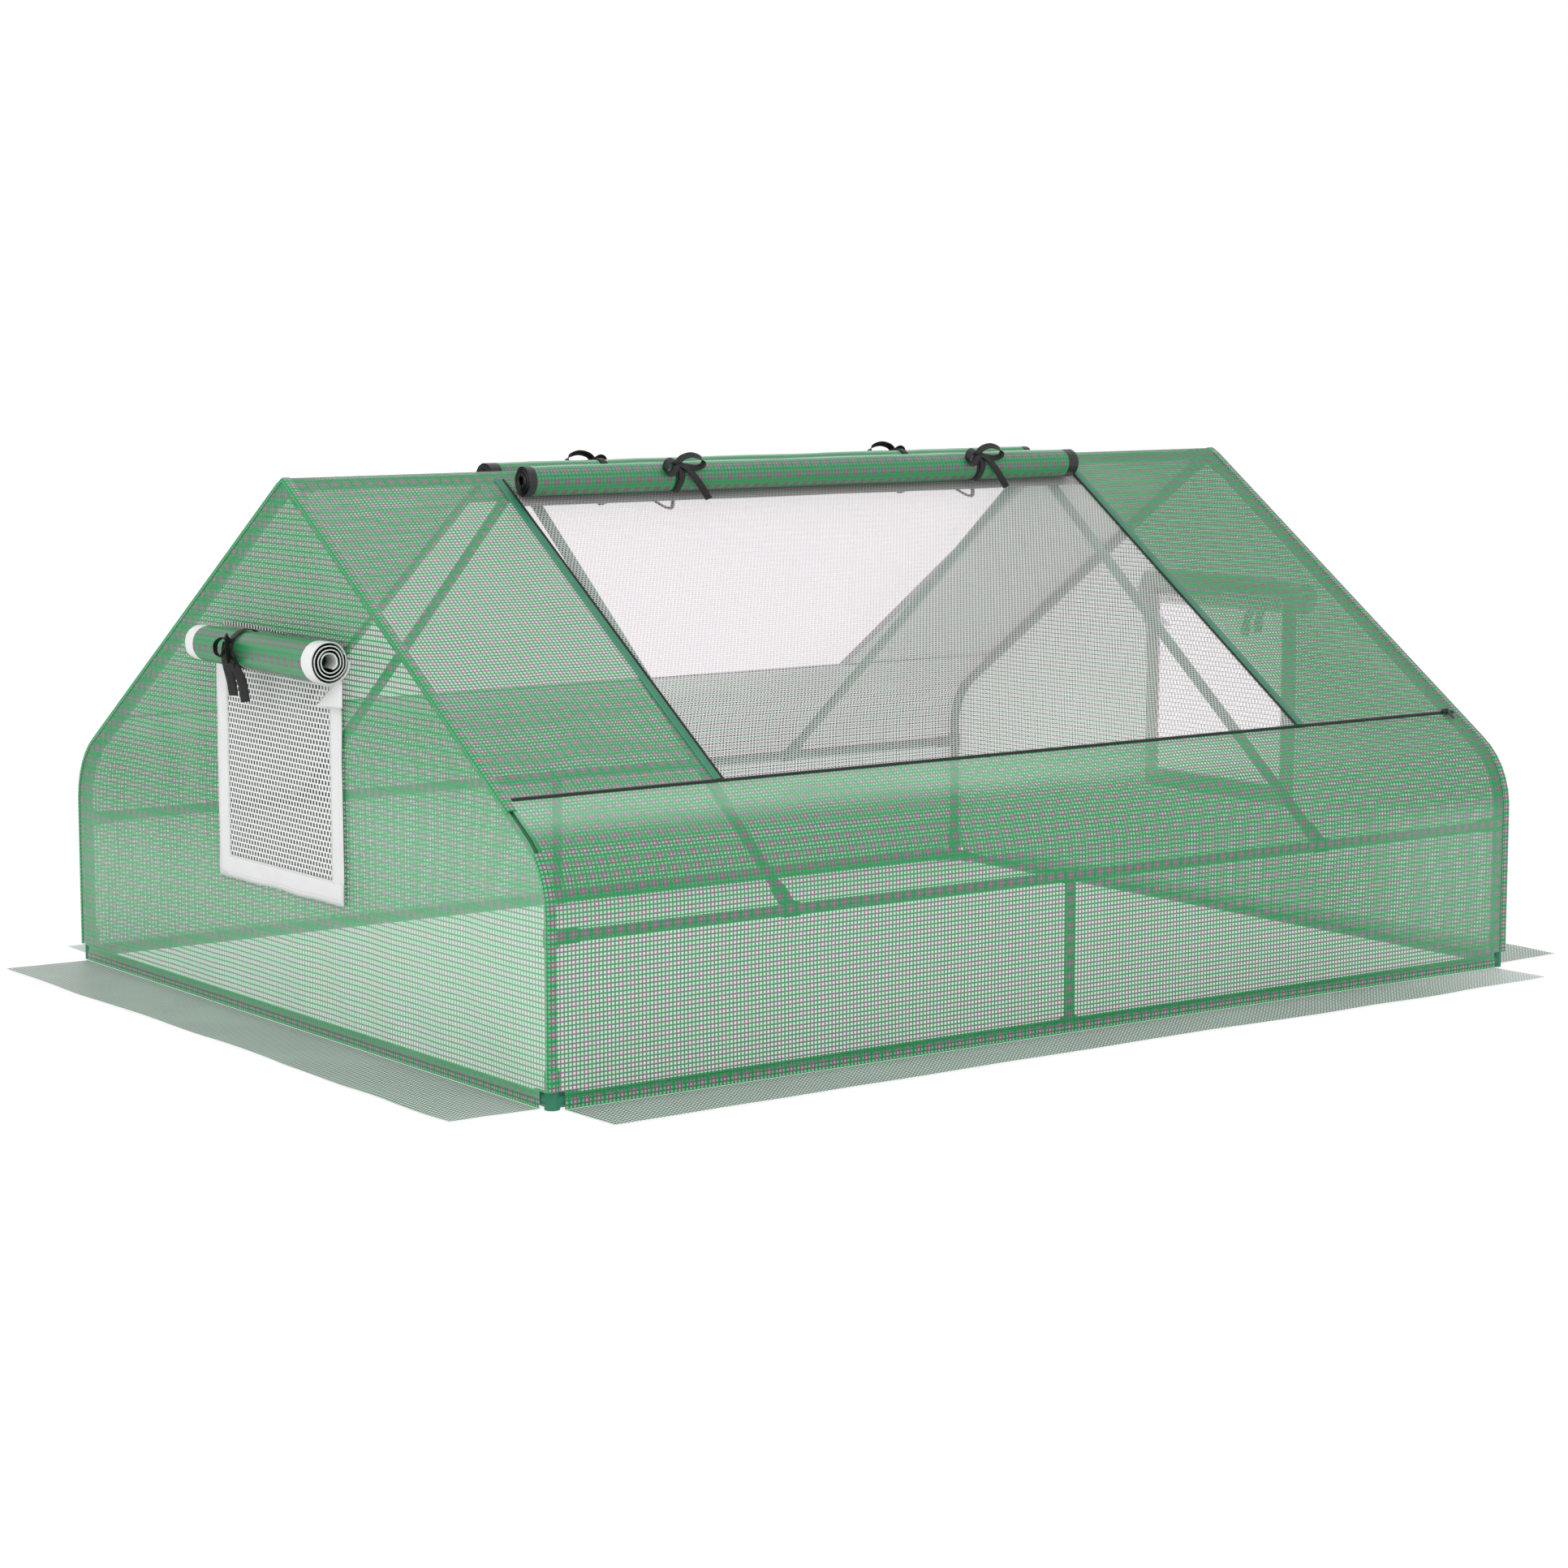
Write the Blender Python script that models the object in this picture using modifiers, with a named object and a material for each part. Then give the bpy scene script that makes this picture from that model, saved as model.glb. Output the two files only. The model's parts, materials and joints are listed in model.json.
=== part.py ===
"""Mini garden greenhouse: a steel-tube frame with push-fit connectors under a fitted woven cover.

Metres, +Z up. X runs along the ridge and Y across it, and the front is -Y. The origin is on the
ground under the middle. The greenhouse looks the same when it is turned half round about Z.
"""

import math

import bmesh
import bpy
from mathutils import Matrix, Vector

# Outside of the cover
LENGTH = 1.80
WIDTH = 1.40
HEIGHT = 0.80
SHOULDER_HEIGHT = 0.32  # where the planes of wall and roof would meet
SHOULDER_RADIUS = 0.115  # of the tubes' middle line
SHEET = 0.0008
GAP = 0.0003

# Tubes and connectors
TUBE_RADIUS = 0.008
TUBE_WALL = 0.0006
SLEEVE_RADIUS = 0.0105
BORE_RADIUS = 0.0085
SLEEVE_HALF = 0.012  # half length of a ring round a tube that runs through
THROUGH_HALF = 0.020  # half length of the bore through such a ring
ARM_LENGTH = 0.040
BORE_START = 0.0125
BORE_OVERRUN = 0.010  # how far a bore's cutter runs past the end of its arm
TUBE_START = BORE_START + 0.0005
COVER_OFFSET = SLEEVE_RADIUS + 2 * GAP + SHEET  # from the tubes' middle line to the cover's outside
FRAME_X = LENGTH / 2 - COVER_OFFSET
FRAME_Y = WIDTH / 2 - COVER_OFFSET
RIDGE_Z = HEIGHT - COVER_OFFSET
BASE_Z = SLEEVE_RADIUS + 0.001
MID_RAIL_Z = 0.228
RAFTER_X = 0.50

# Slope of the roof, along the tubes' middle line
ROOF_RISE = math.atan2(HEIGHT - SHOULDER_HEIGHT, WIDTH / 2)
SHOULDER_Z = RIDGE_Z - FRAME_Y * math.tan(ROOF_RISE)
SHOULDER_TURN = math.pi / 2 - ROOF_RISE
SHOULDER_TANGENT = SHOULDER_RADIUS * math.tan(SHOULDER_TURN / 2)
SHOULDER_STEPS = 6
APEX_STEPS = 2

# Roof doors: distances down the slope are from the ridge pole's middle line
DOOR_HALF = 0.54
DOOR_TOP = 0.030
ZIP_DOWN = 0.706
ZIP_WIDTH = 0.006
ZIP_HALF_LENGTH = 0.885
ZIP_THICKNESS = 0.0006
DOOR_TAPE_WIDTH = 0.018
DOOR_TAPE_OVERRUN = 0.012  # past the top of the door opening
SCREEN = 0.0006
SCREEN_LAP = 0.010
DOOR_ROLL_RADIUS = 0.022
DOOR_ROLL_ENDS = (-0.547, 0.525)
DOOR_ROLL_DOWN = 0.054
DOOR_TIES = (-0.270, 0.315)
ROLL_LIFT = 0.0030  # room for the ribbons between a roll and the sheet under it
ROLL_WALL = 0.0050

# End windows
WINDOW_Y = (-0.135, 0.180)
WINDOW_Z = (0.230, 0.555)
BORDER = 0.030
WINDOW_ROLL_RADIUS = 0.028
WINDOW_ROLL_ENDS = (-0.190, 0.202)
WINDOW_ROLL_Z = 0.552
WINDOW_TIE_Y = 0.055

# Zip sliders, ground flaps and the notch at the cover's corners that shows the feet
SLIDER_SIZE = (0.014, 0.009, 0.004)
SLIDER_X = 0.866
PULL_SIZE = (0.006, 0.020, 0.0016)
CORNER_NOTCH = 0.024
HEM_Z = 0.0005
END_FLAP_WIDTH = 0.140
SIDE_FLAP_WIDTH = 0.115
FLAP_GAP = 0.0006
FLAP_TUCK = 0.0004  # from the hem line to the flap's inner edge

# Ribbon bows. A loop is (x reach, y drop) from the knot, and a tail is a list of points from it
RIBBON_RADIUS = 0.0007
RIBBON_CLEARANCE = 0.0016  # from the roll to the middle of the ribbon round it
KNOT_SIZE = (0.008, 0.008, 0.008)
KNOT_LIFT = 0.003
LOOP_HALF_WIDTH = 0.006
LOOP_LIFT = 0.002
LOOP_STEPS = 8
DOOR_BOW_LOOPS = [(-0.024, -0.002), (0.034, 0.004)]
DOOR_BOW_TAILS = [
    [(0.0, -0.014, 0.0), (0.002, -0.040, -0.012)],
    [(0.012, -0.012, 0.0), (0.034, -0.046, 0.0)],
]
WINDOW_BOW_LOOPS = [(-0.014, -0.012), (0.012, -0.016)]
WINDOW_BOW_TAILS = [
    [(-0.003, -0.020, 0.001), (-0.006, -0.075, 0.001)],
    [(0.004, -0.020, 0.001), (0.012, -0.090, 0.001)],
]

# Fineness of the curved shapes
ROD_SIDES = 12
SMOOTH_ANGLE = math.radians(40)
RIBBON_TURN_STEPS = 16

FRONT, BACK = -1, 1
LEFT, RIGHT = -1, 1
TURN = Matrix.Rotation(math.pi, 4, "Z")


def linear(hex_colour):
    """An sRGB colour such as 1A7558 as Blender's linear values."""
    channels = [int(hex_colour[i:i + 2], 16) / 255 for i in (0, 2, 4)]
    return [c / 12.92 if c <= 0.04045 else ((c + 0.055) / 1.055) ** 2.4 for c in channels] + [1.0]


def new_material(name, hex_colour, roughness, metallic=0.0, alpha=1.0):
    material = bpy.data.materials.new(name)
    material.use_nodes = True
    shader = material.node_tree.nodes["Principled BSDF"]
    shader.inputs["Base Color"].default_value = linear(hex_colour)
    shader.inputs["Roughness"].default_value = roughness
    shader.inputs["Metallic"].default_value = metallic
    shader.inputs["Alpha"].default_value = alpha
    material.diffuse_color = linear(hex_colour)
    return material


for old in list(bpy.data.objects):
    bpy.data.objects.remove(old, do_unlink=True)

parts = bpy.data.collections.new("mini_greenhouse")
cutters = bpy.data.collections.new("cutters")
bpy.context.scene.collection.children.link(parts)
bpy.context.scene.collection.children.link(cutters)

TUBE_PAINT = new_material("frame_green", "2B7A57", 0.42, 0.35)
CONNECTOR_PLASTIC = new_material("connector_teal", "1A7558", 0.5)
COVER_CLOTH = new_material("cover_cloth", "52A474", 0.45, alpha=0.85)
FLAP_CLOTH = new_material("flap_cloth", "6B8574", 0.6, alpha=0.9)
ROLL_CLOTH = new_material("roll_cloth", "3F9A66", 0.3)
SCREEN_MESH = new_material("screen_mesh", "D8DAD8", 0.7, alpha=0.5)
ZIP_BLACK = new_material("zip_black", "2E2E2E", 0.5)
RIBBON_BLACK = new_material("ribbon_black", "262626", 0.6)


def link_part(obj, material):
    parts.objects.link(obj)
    obj.data.materials.clear()
    obj.data.materials.append(material)
    return obj


def place_cutter(obj):
    cutters.objects.link(obj)
    obj.hide_render = True
    obj.display_type = "WIRE"
    return obj


def smooth(mesh):
    mesh.shade_smooth()
    mesh.set_sharp_from_angle(angle=SMOOTH_ANGLE)


def rod(name, start, end, radius):
    """A closed cylinder between two points."""
    start, end = Vector(start), Vector(end)
    run = end - start
    mesh = bpy.data.meshes.new(name)
    shape = bmesh.new()
    bmesh.ops.create_cone(
        shape, cap_ends=True, segments=ROD_SIDES, radius1=radius, radius2=radius, depth=run.length
    )
    shape.to_mesh(mesh)
    shape.free()
    smooth(mesh)
    obj = bpy.data.objects.new(name, mesh)
    obj.rotation_mode = "QUATERNION"
    obj.rotation_quaternion = run.to_track_quat("Z", "Y")
    obj.location = (start + end) / 2
    return obj


def box(name, size, location=(0, 0, 0)):
    mesh = bpy.data.meshes.new(name)
    shape = bmesh.new()
    bmesh.ops.create_cube(shape, size=1)
    bmesh.ops.scale(shape, vec=size, verts=shape.verts)
    shape.to_mesh(mesh)
    shape.free()
    obj = bpy.data.objects.new(name, mesh)
    obj.location = location
    return obj


def bevelled_curve(name, points, radius, resolution, caps, cyclic=False):
    """A round bar along points, as a curve object."""
    curve = bpy.data.curves.new(name, "CURVE")
    curve.dimensions = "3D"
    curve.bevel_depth = radius
    curve.bevel_resolution = resolution
    curve.use_fill_caps = caps
    spline = curve.splines.new("POLY")
    spline.points.add(len(points) - 1)
    for control, point in zip(spline.points, points):
        control.co = (*point, 1.0)
    spline.use_cyclic_u = cyclic
    obj = bpy.data.objects.new(name, curve)
    cutters.objects.link(obj)
    return obj


def as_mesh(curve_object):
    """The curve's own shape as a mesh object, with its caps welded. The curve is removed."""
    bpy.context.view_layer.update()
    graph = bpy.context.evaluated_depsgraph_get()
    mesh = bpy.data.meshes.new_from_object(curve_object.evaluated_get(graph))
    shape = bmesh.new()
    shape.from_mesh(mesh)
    bmesh.ops.remove_doubles(shape, verts=shape.verts, dist=0.00001)
    shape.to_mesh(mesh)
    shape.free()
    name = curve_object.name
    world = curve_object.matrix_world.copy()
    bpy.data.objects.remove(curve_object, do_unlink=True)
    mesh.name = name
    smooth(mesh)
    obj = bpy.data.objects.new(name, mesh)
    obj.matrix_world = world
    return obj


def hollow_tube(name, points, material, radius=TUBE_RADIUS, wall=TUBE_WALL, resolution=4):
    """An open-ended tube: the bare skin of a curve, made thick inwards."""
    obj = as_mesh(bevelled_curve(name, points, radius, resolution, caps=False))
    thick = obj.modifiers.new("Solidify", "SOLIDIFY")
    thick.thickness = wall
    thick.offset = -1
    return link_part(obj, material)


def boolean(obj, operand, operation):
    modifier = obj.modifiers.new(operation.title(), "BOOLEAN")
    modifier.operation = operation
    modifier.object = place_cutter(operand)
    modifier.solver = "EXACT"


def connector(name, centre, sleeves, bores):
    """Sleeves joined at the centre and bored out. Each sleeve and bore is (from, to) about the centre."""
    centre = Vector(centre)
    body = None
    for number, (start, end) in enumerate(sleeves):
        label = name if number == 0 else f"{name}_sleeve_{number}"
        sleeve = rod(label, centre + Vector(start), centre + Vector(end), SLEEVE_RADIUS)
        if number == 0:
            body = link_part(sleeve, CONNECTOR_PLASTIC)
        else:
            boolean(body, sleeve, "UNION")
    for number, (start, end) in enumerate(bores):
        bore = rod(f"{name}_bore_{number}", centre + Vector(start), centre + Vector(end), BORE_RADIUS)
        boolean(body, bore, "DIFFERENCE")
    return body


def arm(direction):
    return (0, 0, 0), Vector(direction) * ARM_LENGTH


def arm_bore(direction):
    return Vector(direction) * BORE_START, Vector(direction) * (ARM_LENGTH + BORE_OVERRUN)


def ring(axis, half=SLEEVE_HALF):
    return Vector(axis) * -half, Vector(axis) * half


def half_profile(offset, bottom_z, extra=()):
    """(y, z) points from the ground to the ridge, outside the tubes' middle line by offset.

    extra holds distances down the slope at which the straight part gets a point of its own.
    """
    points = [Vector((FRAME_Y + offset, bottom_z))]
    centre = Vector((FRAME_Y - SHOULDER_RADIUS, SHOULDER_Z - SHOULDER_TANGENT))
    for step in range(SHOULDER_STEPS + 1):
        angle = SHOULDER_TURN * step / SHOULDER_STEPS
        points.append(centre + (SHOULDER_RADIUS + offset) * Vector((math.cos(angle), math.sin(angle))))
    for down in sorted(extra, reverse=True):
        y, z = roof_point(BACK, down, offset)[1:]
        points.append(Vector((y, z)))
    for step in range(APEX_STEPS + 1):
        angle = SHOULDER_TURN + (math.pi / 2 - SHOULDER_TURN) * step / APEX_STEPS
        points.append(Vector((0, RIDGE_Z)) + offset * Vector((math.cos(angle), math.sin(angle))))
    return points


def roof_point(side, down, offset, x=0.0):
    """A point on the front or back slope, outside the tubes' middle line by offset."""
    y = side * (down * math.cos(ROOF_RISE) + offset * math.sin(ROOF_RISE))
    z = RIDGE_Z - down * math.sin(ROOF_RISE) + offset * math.cos(ROOF_RISE)
    return Vector((x, y, z))


def roof_frame(down, offset, x=0.0):
    """Axes on the front slope: local Y runs up the slope and local Z points out."""
    return Matrix.Translation(roof_point(FRONT, down, offset, x)) @ Matrix.Rotation(ROOF_RISE, 4, "X")


def wall_frame(y, z, offset):
    """Axes on the left end: local X runs to -Y, local Y is up and local Z points out."""
    turn = Matrix(((0, 0, -1), (-1, 0, 0), (0, 1, 0))).to_4x4()
    return Matrix.Translation((-LENGTH / 2 - offset, y, z)) @ turn


def outline_plate(name, outlines, thickness, frame, material):
    """A flat plate with holes, from a filled 2D curve: the first outline is its edge."""
    curve = bpy.data.curves.new(name, "CURVE")
    curve.dimensions = "2D"
    curve.fill_mode = "BOTH"
    curve.extrude = thickness / 2
    for outline in outlines:
        spline = curve.splines.new("POLY")
        spline.points.add(len(outline) - 1)
        for control, point in zip(spline.points, outline):
            control.co = (*point, 0.0, 1.0)
        spline.use_cyclic_u = True
    obj = bpy.data.objects.new(name, curve)
    obj.matrix_world = frame
    return link_part(obj, material)


def rectangle(low_x, low_y, high_x, high_y):
    return [(low_x, low_y), (high_x, low_y), (high_x, high_y), (low_x, high_y)]


# Frame


def make_feet_and_clips():
    for x_name, x_side in (("left", LEFT), ("right", RIGHT)):
        for y_name, y_side in (("front", FRONT), ("back", BACK)):
            corner = (x_side * FRAME_X, y_side * FRAME_Y, BASE_Z)
            along_x, along_y, up = (-x_side, 0, 0), (0, -y_side, 0), (0, 0, 1)
            sleeves = [((0, 0, -BASE_Z), arm(up)[1]), arm(along_x), arm(along_y)]
            bores = [arm_bore(up), arm_bore(along_x), arm_bore(along_y)]
            connector(f"foot_connector_{y_name}_{x_name}", corner, sleeves, bores)
            middle = (x_side * FRAME_X, y_side * FRAME_Y, MID_RAIL_Z)
            clip_sleeves = [ring(up), arm(along_x)]
            clip_bores = [ring(up, THROUGH_HALF), arm_bore(along_x)]
            connector(f"mid_rail_clip_{y_name}_{x_name}", middle, clip_sleeves, clip_bores)


def make_hip_tubes():
    """One bent tube for each corner: post, shoulder bend and rafter up to the ridge."""
    profile = half_profile(0.0, BASE_Z + TUBE_START)[: SHOULDER_STEPS + 2]
    ridge = Vector((0, RIDGE_Z))
    profile.append(ridge + TUBE_START * Vector((math.cos(ROOF_RISE), -math.sin(ROOF_RISE))))
    for x_name, x_side in (("left", LEFT), ("right", RIGHT)):
        for y_name, y_side in (("front", FRONT), ("back", BACK)):
            points = [(x_side * FRAME_X, y_side * y, z) for y, z in profile]
            hollow_tube(f"hip_tube_{y_name}_{x_name}", points, TUBE_PAINT)


def make_rails():
    end_x = FRAME_X - TUBE_START
    end_y = FRAME_Y - TUBE_START
    for name, side in (("front", FRONT), ("back", BACK)):
        y = side * FRAME_Y
        hollow_tube(f"base_rail_{name}", [(-end_x, y, BASE_Z), (end_x, y, BASE_Z)], TUBE_PAINT)
        hollow_tube(f"mid_rail_{name}", [(-end_x, y, MID_RAIL_Z), (end_x, y, MID_RAIL_Z)], TUBE_PAINT)
    for name, side in (("left", LEFT), ("right", RIGHT)):
        x = side * FRAME_X
        hollow_tube(f"base_rail_{name}", [(x, -end_y, BASE_Z), (x, end_y, BASE_Z)], TUBE_PAINT)
    hollow_tube("ridge_pole", [(-end_x, 0, RIDGE_Z), (end_x, 0, RIDGE_Z)], TUBE_PAINT)


def make_mid_posts():
    """A short tube between base rail and mid rail, with a ring at each end that slips on the rail."""
    for name, side in (("front", FRONT), ("back", BACK)):
        foot = Vector((0, side * FRAME_Y, BASE_Z))
        head = Vector((0, side * FRAME_Y, MID_RAIL_Z))
        post = link_part(rod(f"mid_post_{name}", foot, head, TUBE_RADIUS), TUBE_PAINT)
        for label, end in (("foot", foot), ("head", head)):
            start, stop = ring((1, 0, 0))
            boolean(post, rod(f"{post.name}_{label}", end + start, end + stop, SLEEVE_RADIUS), "UNION")
        for label, end in (("foot", foot), ("head", head)):
            start, stop = ring((1, 0, 0), THROUGH_HALF)
            bore = rod(f"{post.name}_{label}_bore", end + start, end + stop, BORE_RADIUS)
            boolean(post, bore, "DIFFERENCE")
        inside = TUBE_RADIUS - TUBE_WALL
        boolean(post, rod(f"{post.name}_bore", foot, head, inside), "DIFFERENCE")


def make_rafters():
    """Straight rafters from the ridge pole to the mid rails, with their connectors."""
    drop = RIDGE_Z - MID_RAIL_Z
    reach = math.hypot(drop, FRAME_Y)
    for x_name, x in (("left", -RAFTER_X), ("right", RAFTER_X)):
        downs = []
        for y_name, side in (("front", FRONT), ("back", BACK)):
            down = Vector((0, side * FRAME_Y / reach, -drop / reach))
            top = Vector((x, 0, RIDGE_Z))
            bottom = Vector((x, side * FRAME_Y, MID_RAIL_Z))
            ends = [top + TUBE_START * down, bottom - TUBE_START * down]
            hollow_tube(f"rafter_{y_name}_{x_name}", ends, TUBE_PAINT)
            sleeves = [ring((1, 0, 0)), arm(-down)]
            bores = [ring((1, 0, 0), THROUGH_HALF), arm_bore(-down)]
            connector(f"rafter_tee_{y_name}_{x_name}", bottom, sleeves, bores)
            downs.append(down)
        sleeves = [ring((1, 0, 0)), arm(downs[0]), arm(downs[1])]
        bores = [ring((1, 0, 0), THROUGH_HALF), arm_bore(downs[0]), arm_bore(downs[1])]
        connector(f"ridge_cross_{x_name}", (x, 0, RIDGE_Z), sleeves, bores)


def make_ridge_ends():
    front_down = (0, -math.cos(ROOF_RISE), -math.sin(ROOF_RISE))
    back_down = (0, math.cos(ROOF_RISE), -math.sin(ROOF_RISE))
    for name, side in (("left", LEFT), ("right", RIGHT)):
        ways = [(-side, 0, 0), front_down, back_down]
        connector(
            f"ridge_end_{name}",
            (side * FRAME_X, 0, RIDGE_Z),
            [arm(way) for way in ways],
            [arm_bore(way) for way in ways],
        )


# Cover


def make_side_cover(name, side):
    """Wall and roof slope in one bent sheet, with the door opening and a notch at each foot."""
    edge = FRAME_X + COVER_OFFSET - SHEET - GAP
    door = (DOOR_TOP, ZIP_DOWN - ZIP_WIDTH / 2)
    profile = half_profile(COVER_OFFSET, HEM_Z, extra=door)
    profile.insert(1, Vector((profile[0].x, CORNER_NOTCH)))
    profile[-1].x = GAP / 2
    mesh = bpy.data.meshes.new(name)
    shape = bmesh.new()
    line = [shape.verts.new((-edge, side * y, z)) for y, z in profile]
    edges = [shape.edges.new(pair) for pair in zip(line, line[1:])]
    stations = (-edge + CORNER_NOTCH, -DOOR_HALF, DOOR_HALF, edge - CORNER_NOTCH, edge)
    at = -edge
    for station in stations:
        made = bmesh.ops.extrude_edge_only(shape, edges=edges)["geom"]
        moved = [item for item in made if isinstance(item, bmesh.types.BMVert)]
        edges = [item for item in made if isinstance(item, bmesh.types.BMEdge)]
        bmesh.ops.translate(shape, vec=(station - at, 0, 0), verts=moved)
        at = station
    low, high = (roof_point(BACK, down, COVER_OFFSET).y for down in door)
    unwanted = []
    for face in shape.faces:
        middle = face.calc_center_median()
        in_door = abs(middle.x) < DOOR_HALF and low < abs(middle.y) < high
        in_notch = abs(middle.x) > edge - CORNER_NOTCH and middle.z < CORNER_NOTCH
        if in_door or in_notch:
            unwanted.append(face)
    bmesh.ops.delete(shape, geom=unwanted, context="FACES")
    bmesh.ops.recalc_face_normals(shape, faces=shape.faces)
    if sum(face.normal.z * face.calc_area() for face in shape.faces) < 0:
        bmesh.ops.reverse_faces(shape, faces=shape.faces)
    shape.to_mesh(mesh)
    shape.free()
    smooth(mesh)
    obj = bpy.data.objects.new(name, mesh)
    thick = obj.modifiers.new("Solidify", "SOLIDIFY")
    thick.thickness = SHEET
    thick.offset = -1
    thick.use_even_offset = True
    return link_part(obj, COVER_CLOTH)


def make_end_cover(name):
    """The left gable: a flat sheet with the window opening. Plate axes: x is -Y, y is Z."""
    half = half_profile(COVER_OFFSET, HEM_Z)
    edge = half[0].x
    inset = edge - CORNER_NOTCH
    notch = [(inset, HEM_Z), (inset, CORNER_NOTCH), (edge, CORNER_NOTCH)]
    half = [Vector(point) for point in notch] + half[1:]
    outline = [(y, z) for y, z in half]
    outline += [(-y, z) for y, z in reversed(half[:-1])]
    window = rectangle(-WINDOW_Y[1], WINDOW_Z[0], -WINDOW_Y[0], WINDOW_Z[1])
    return outline_plate(name, [outline, window], SHEET, wall_frame(0, 0, -SHEET / 2), COVER_CLOTH)


def make_door_zip(name):
    """Zip tapes on the front slope: one along the whole sheet, and one up each side of the door."""
    inner = DOOR_HALF
    outer = DOOR_HALF + DOOR_TAPE_WIDTH
    top = ZIP_DOWN - DOOR_TOP + DOOR_TAPE_OVERRUN
    low, high = -ZIP_WIDTH / 2, ZIP_WIDTH / 2
    outline = [(-ZIP_HALF_LENGTH, low), (ZIP_HALF_LENGTH, low), (ZIP_HALF_LENGTH, high)]
    outline += [(outer, high), (outer, top), (inner, top), (inner, high)]
    outline += [(-inner, high), (-inner, top), (-outer, top), (-outer, high)]
    outline += [(-ZIP_HALF_LENGTH, high)]
    offset = COVER_OFFSET + GAP + ZIP_THICKNESS / 2
    return outline_plate(name, [outline], ZIP_THICKNESS, roof_frame(ZIP_DOWN, offset), ZIP_BLACK)


def make_roof_screen(name):
    """Insect mesh behind the front door opening."""
    top = ZIP_DOWN - DOOR_TOP + SCREEN_LAP
    offset = COVER_OFFSET - SHEET - GAP - SCREEN / 2
    half = DOOR_HALF + SCREEN_LAP
    edges = rectangle(-half, -SCREEN_LAP, half, top)
    return outline_plate(name, [edges], SCREEN, roof_frame(ZIP_DOWN, offset), SCREEN_MESH)


def make_window_screen(name):
    """Bordered mesh sewn on the outside of the left window opening."""
    edges = rectangle(
        -WINDOW_Y[1] - BORDER, WINDOW_Z[0] - BORDER, -WINDOW_Y[0] + BORDER, WINDOW_Z[1] + BORDER
    )
    frame = wall_frame(0, 0, GAP + SCREEN / 2)
    return outline_plate(name, [edges], SCREEN, frame, SCREEN_MESH)


def door_roll_frame():
    return roof_frame(DOOR_ROLL_DOWN, COVER_OFFSET + ROLL_LIFT + DOOR_ROLL_RADIUS)


def window_roll_frame():
    offset = GAP + SCREEN + ROLL_LIFT + WINDOW_ROLL_RADIUS
    return wall_frame(0, WINDOW_ROLL_Z, offset)


def make_roll(name, ends, radius, frame):
    points = [(ends[0], 0, 0), (ends[1], 0, 0)]
    obj = hollow_tube(name, points, ROLL_CLOTH, radius, ROLL_WALL, resolution=6)
    obj.matrix_world = frame
    return obj


def ribbon_curve(name, points, cyclic=False):
    return as_mesh(bevelled_curve(name, points, RIBBON_RADIUS, 0, caps=not cyclic, cyclic=cyclic))


def make_tie(name, roll_radius, tails, loops, frame):
    """A ribbon round a roll, tied in a bow. Local X is the roll's axis and local Z points outwards.

    tails and loops are measured from the knot.
    """
    around = roll_radius + RIBBON_CLEARANCE
    turn = [2 * math.pi * step / RIBBON_TURN_STEPS for step in range(RIBBON_TURN_STEPS)]
    circle = [(0, around * math.sin(angle), around * math.cos(angle)) for angle in turn]
    tie = link_part(ribbon_curve(name, circle, cyclic=True), RIBBON_BLACK)
    knot_z = around + KNOT_LIFT
    for number, (reach, drop) in enumerate(loops):
        loop = []
        for step in range(LOOP_STEPS):
            angle = 2 * math.pi * step / LOOP_STEPS
            along = (1 - math.cos(angle)) / 2
            across = LOOP_HALF_WIDTH * math.sin(angle)
            height = knot_z + LOOP_LIFT * (1 + 2 * along)
            loop.append((reach * along, drop * along + across, height))
        boolean(tie, ribbon_curve(f"{name}_loop_{number}", loop, cyclic=True), "UNION")
    for number, tail in enumerate(tails):
        points = [(0, 0, knot_z)] + [(x, y, knot_z + z) for x, y, z in tail]
        boolean(tie, ribbon_curve(f"{name}_tail_{number}", points), "UNION")
    boolean(tie, box(f"{name}_knot", KNOT_SIZE, (0, 0, knot_z)), "UNION")
    bpy.context.view_layer.update()
    for modifier in tie.modifiers:
        modifier.object.matrix_world = frame @ modifier.object.matrix_world
    tie.matrix_world = frame
    return tie


def make_slider(name):
    """Slider and pull on the right end of the front zip, in one piece."""
    offset = COVER_OFFSET + 2 * GAP + ZIP_THICKNESS + SLIDER_SIZE[2] / 2
    frame = roof_frame(ZIP_DOWN, offset, SLIDER_X)
    body = link_part(box(name, SLIDER_SIZE), ZIP_BLACK)
    pull = box(f"{name}_pull", PULL_SIZE, (0, -PULL_SIZE[1] / 2, 0.0005))
    boolean(body, pull, "UNION")
    pull.matrix_world = frame @ Matrix.Translation(pull.location)
    body.matrix_world = frame
    return body


def make_flap(name, length, width, axis_point, along_x):
    """A strip of cloth that lies on the ground from the hem outwards. Its origin is on the hem."""
    x, y = axis_point
    outward = Vector((0, FRONT, 0)) if along_x else Vector((LEFT, 0, 0))
    size = (length, width, SHEET) if along_x else (width, length, SHEET)
    flap = link_part(box(name, size), FLAP_CLOTH)
    shift = outward * (width / 2 - FLAP_TUCK)
    flap.data.transform(Matrix.Translation(shift))
    flap.location = (x, y, SHEET / 2)
    return flap


def half_turned(source, name):
    """The same piece on the far side: a copy turned half round the vertical axis."""
    twin = source.copy()
    twin.name = name
    parts.objects.link(twin)
    twin.matrix_world = TURN @ source.matrix_world
    for modifier in twin.modifiers:
        if modifier.type == "BOOLEAN":
            operand = modifier.object.copy()
            operand.name = modifier.object.name.replace(source.name, name)
            operand.matrix_world = TURN @ modifier.object.matrix_world
            modifier.object = place_cutter(operand)
    return twin


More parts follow.
